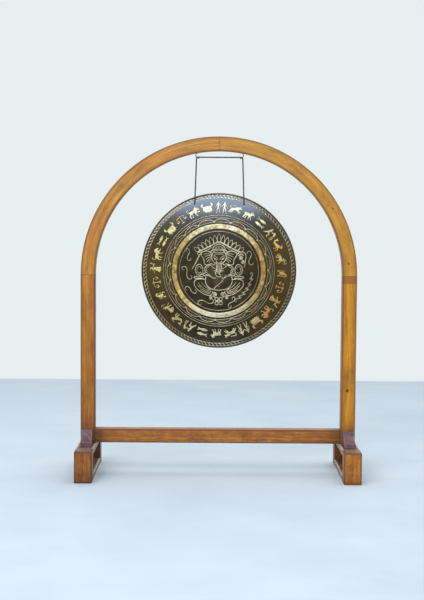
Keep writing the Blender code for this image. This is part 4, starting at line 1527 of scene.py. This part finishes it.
def ground_look():
    """Blackened bronze: mottled, warmer towards both sides as a painted sheen, with the lathe's fine rings.
    """
    look = Look("bronze_ground", Coat_Weight=1.0, Coat_Roughness=0.11, Coat_IOR=1.5)
    place = look.place()
    cloud = look.noise(place, 18.0, 5.0, 0.62)
    speck = look.noise(place, 210.0, 3.0, 0.65, 2.0)
    wide = look.noise(place, 6.0, 3.0, 0.5, 9.0)
    dark, brown, warm = (0.010, 0.007, 0.003), (0.036, 0.023, 0.007), (0.13, 0.072, 0.017)
    colour = look.ramp(look.total((cloud, 0.6), (speck, 0.4)), (0.36, dark), (0.56, brown), (0.78, warm))
    radius, x = off_middle(look, place)
    # Painted sheen: the ground turns warmer towards both sides.
    painted_sheen_aside = look.ramp(look.maths("ABSOLUTE", x), (0.40, 0.0), (0.75, 1.0))
    colour = look.mix(look.times(painted_sheen_aside, look.ramp(wide, (0.35, 0.1), (0.60, 0.45))), colour, warm)
    belly = look.vector("ADD", place, (0.004, 0.0, 0.012 - GONG_MIDDLE_Z))
    near = look.vector("LENGTH", look.vector("MULTIPLY", belly, (1.0, 0.0, 0.75)))
    near = look.ramp(look.times(near, 10.0), (0.15, 1.0), (0.62, 0.0))
    smoke = look.ramp(look.noise(place, (50.0, 50.0, 34.0), 4.0, 0.6, 3.3), (0.36, 0.0), (0.62, 0.8))
    colour = look.mix(look.times(near, smoke), colour, (0.105, 0.070, 0.030))
    roughness = look.ramp(cloud, (0.3, 0.36), (0.7, 0.52))
    look.drive(Base_Color=colour, Roughness=roughness, Metallic=look.ramp(speck, (0.3, 0.82), (0.7, 0.96)))
    lathe = look.maths("SINE", look.times(radius, 2 * math.pi / (1.1 * MM)))
    look.bump(look.total((lathe, 0.12), (cloud, 1.6), (speck, 0.25)), 0.35, 0.0006)
    return look.material


def bright_look(name, pale, gold, turn_gold, heat=0.0, bottom_highlight=0.0):
    """Bronze rubbed bright where the ornament stands. It is turned metal, so it glints across.

    pale is for its top and bottom, a painted reflection of the light above and below, and gold for its sides,
    each as dark, middle and light colours. turn_gold is (from, to), how far out sideways the one becomes the
    other, heat is how strong the patches of orange heat tint on the right are, and bottom_highlight lightens
    the bottom as a painted highlight."""
    look = Look(name, Metallic=1.0, Anisotropic=0.55)
    place = look.place()
    cloud = look.noise(place, 30.0, 4.0, 0.62, 1.0)
    mottle = look.noise(place, 120.0, 3.0, 0.6, 6.0)
    patch = look.noise(place, 9.0, 2.0, 0.5, 2.6)
    speck = look.noise(place, 560.0, 3.0, 0.6, 4.0)
    tone = look.total((cloud, 0.35), (speck, 0.25), (mottle, 0.40))
    # Painted highlight: lighter towards the bottom.
    if bottom_highlight:
        down = look.maths("SUBTRACT", GONG_MIDDLE_Z, look.axis(place, 2))
        tone = look.plus(tone, look.maths("MAXIMUM", look.times(down, bottom_highlight / GONG_RADIUS), 0.0))
    places = (0.40, 0.50, 0.60)
    # Painted reflection: the pale colours at the top and bottom, the gold at the sides.
    pale, gold = (look.ramp(tone, *zip(places, colours)) for colours in (pale, gold))
    x = off_middle(look, place)[1]
    painted_sheen_aside = look.plus(look.maths("ABSOLUTE", x), look.times(look.maths("SUBTRACT", patch, 0.5), 0.5))
    start, end = turn_gold
    colour = look.mix(look.ramp(painted_sheen_aside, (start, 0.0), (end, 1.0)), pale, gold)
    if heat:
        to_right = look.ramp(look.plus(x, look.times(patch, 0.4)), (0.5, 0.0), (0.8, 1.0))
        share = look.times(look.ramp(patch, (0.47, 0.0), (0.58, heat)), to_right)
        colour = look.mix(share, colour, (0.66, 0.27, 0.045))
    look.drive(Base_Color=colour, Roughness=look.ramp(cloud, (0.3, 0.36), (0.7, 0.50)))
    look.drive(Tangent=look.add("Tangent", direction_type="RADIAL", axis="Y"))
    look.bump(speck, 0.25, 0.0003)
    return look.material


def back_look():
    """The plain back: brown scale with brighter turned rings and soft hammer marks."""
    look = Look("bronze_back", Metallic=0.8)
    place = look.place()
    cloud = look.noise(place, 14.0, 5.0, 0.6, 6.0)
    bent = look.plus(off_middle(look, place)[0], look.times(cloud, 0.004))
    rings = look.rings(look.times(bent, 330.0), 3.0)
    dark, brown, gold = (0.045, 0.030, 0.018), (0.16, 0.095, 0.040), (0.42, 0.28, 0.11)
    colour = look.ramp(look.total((cloud, 0.5), (rings, 0.5)), (0.36, dark), (0.52, brown), (0.66, gold))
    look.drive(Base_Color=colour, Roughness=look.ramp(rings, (0.3, 0.38), (0.7, 0.52)))
    hammer = look.add("TexVoronoi", {"Vector": place, "Scale": 55.0, "Smoothness": 1.0}, feature="SMOOTH_F1")
    look.bump(look.total((hammer, 2.0), (rings, 0.3)), 0.4, 0.0008)
    return look.material


def make_gong():
    # In each look the first colours are a pale painted reflection for the top and bottom.
    band = bright_look(
        "bronze_band",
        ((0.26, 0.15, 0.055), (0.62, 0.46, 0.23), (0.98, 0.84, 0.54)),
        ((0.12, 0.058, 0.017), (0.33, 0.19, 0.056), (0.60, 0.40, 0.13)),
        (0.14, 0.46),
        heat=0.2,
        bottom_highlight=0.18,
    )
    figures = bright_look(
        "bronze_figures",
        ((0.42, 0.31, 0.16), (0.80, 0.65, 0.37), (0.98, 0.86, 0.56)),
        ((0.24, 0.16, 0.045), (0.50, 0.37, 0.12), (0.74, 0.57, 0.23)),
        (0.28, 0.72),
        heat=0.6,
    )
    lines = bright_look(
        "bronze_lines",
        ((0.36, 0.26, 0.14), (0.66, 0.53, 0.33), (0.88, 0.76, 0.53)),
        ((0.20, 0.14, 0.060), (0.40, 0.30, 0.145), (0.58, 0.46, 0.25)),
        (0.06, 0.50),
    )
    make_disc([ground_look(), band, back_look(), lines])
    make_figures(figures)
    make_scallops(lines)
    make_rope(lines)
    make_medallion(lines)


make_camera()
make_studio()
make_stand()
make_metalwork()
dress_dowels()
make_gong()
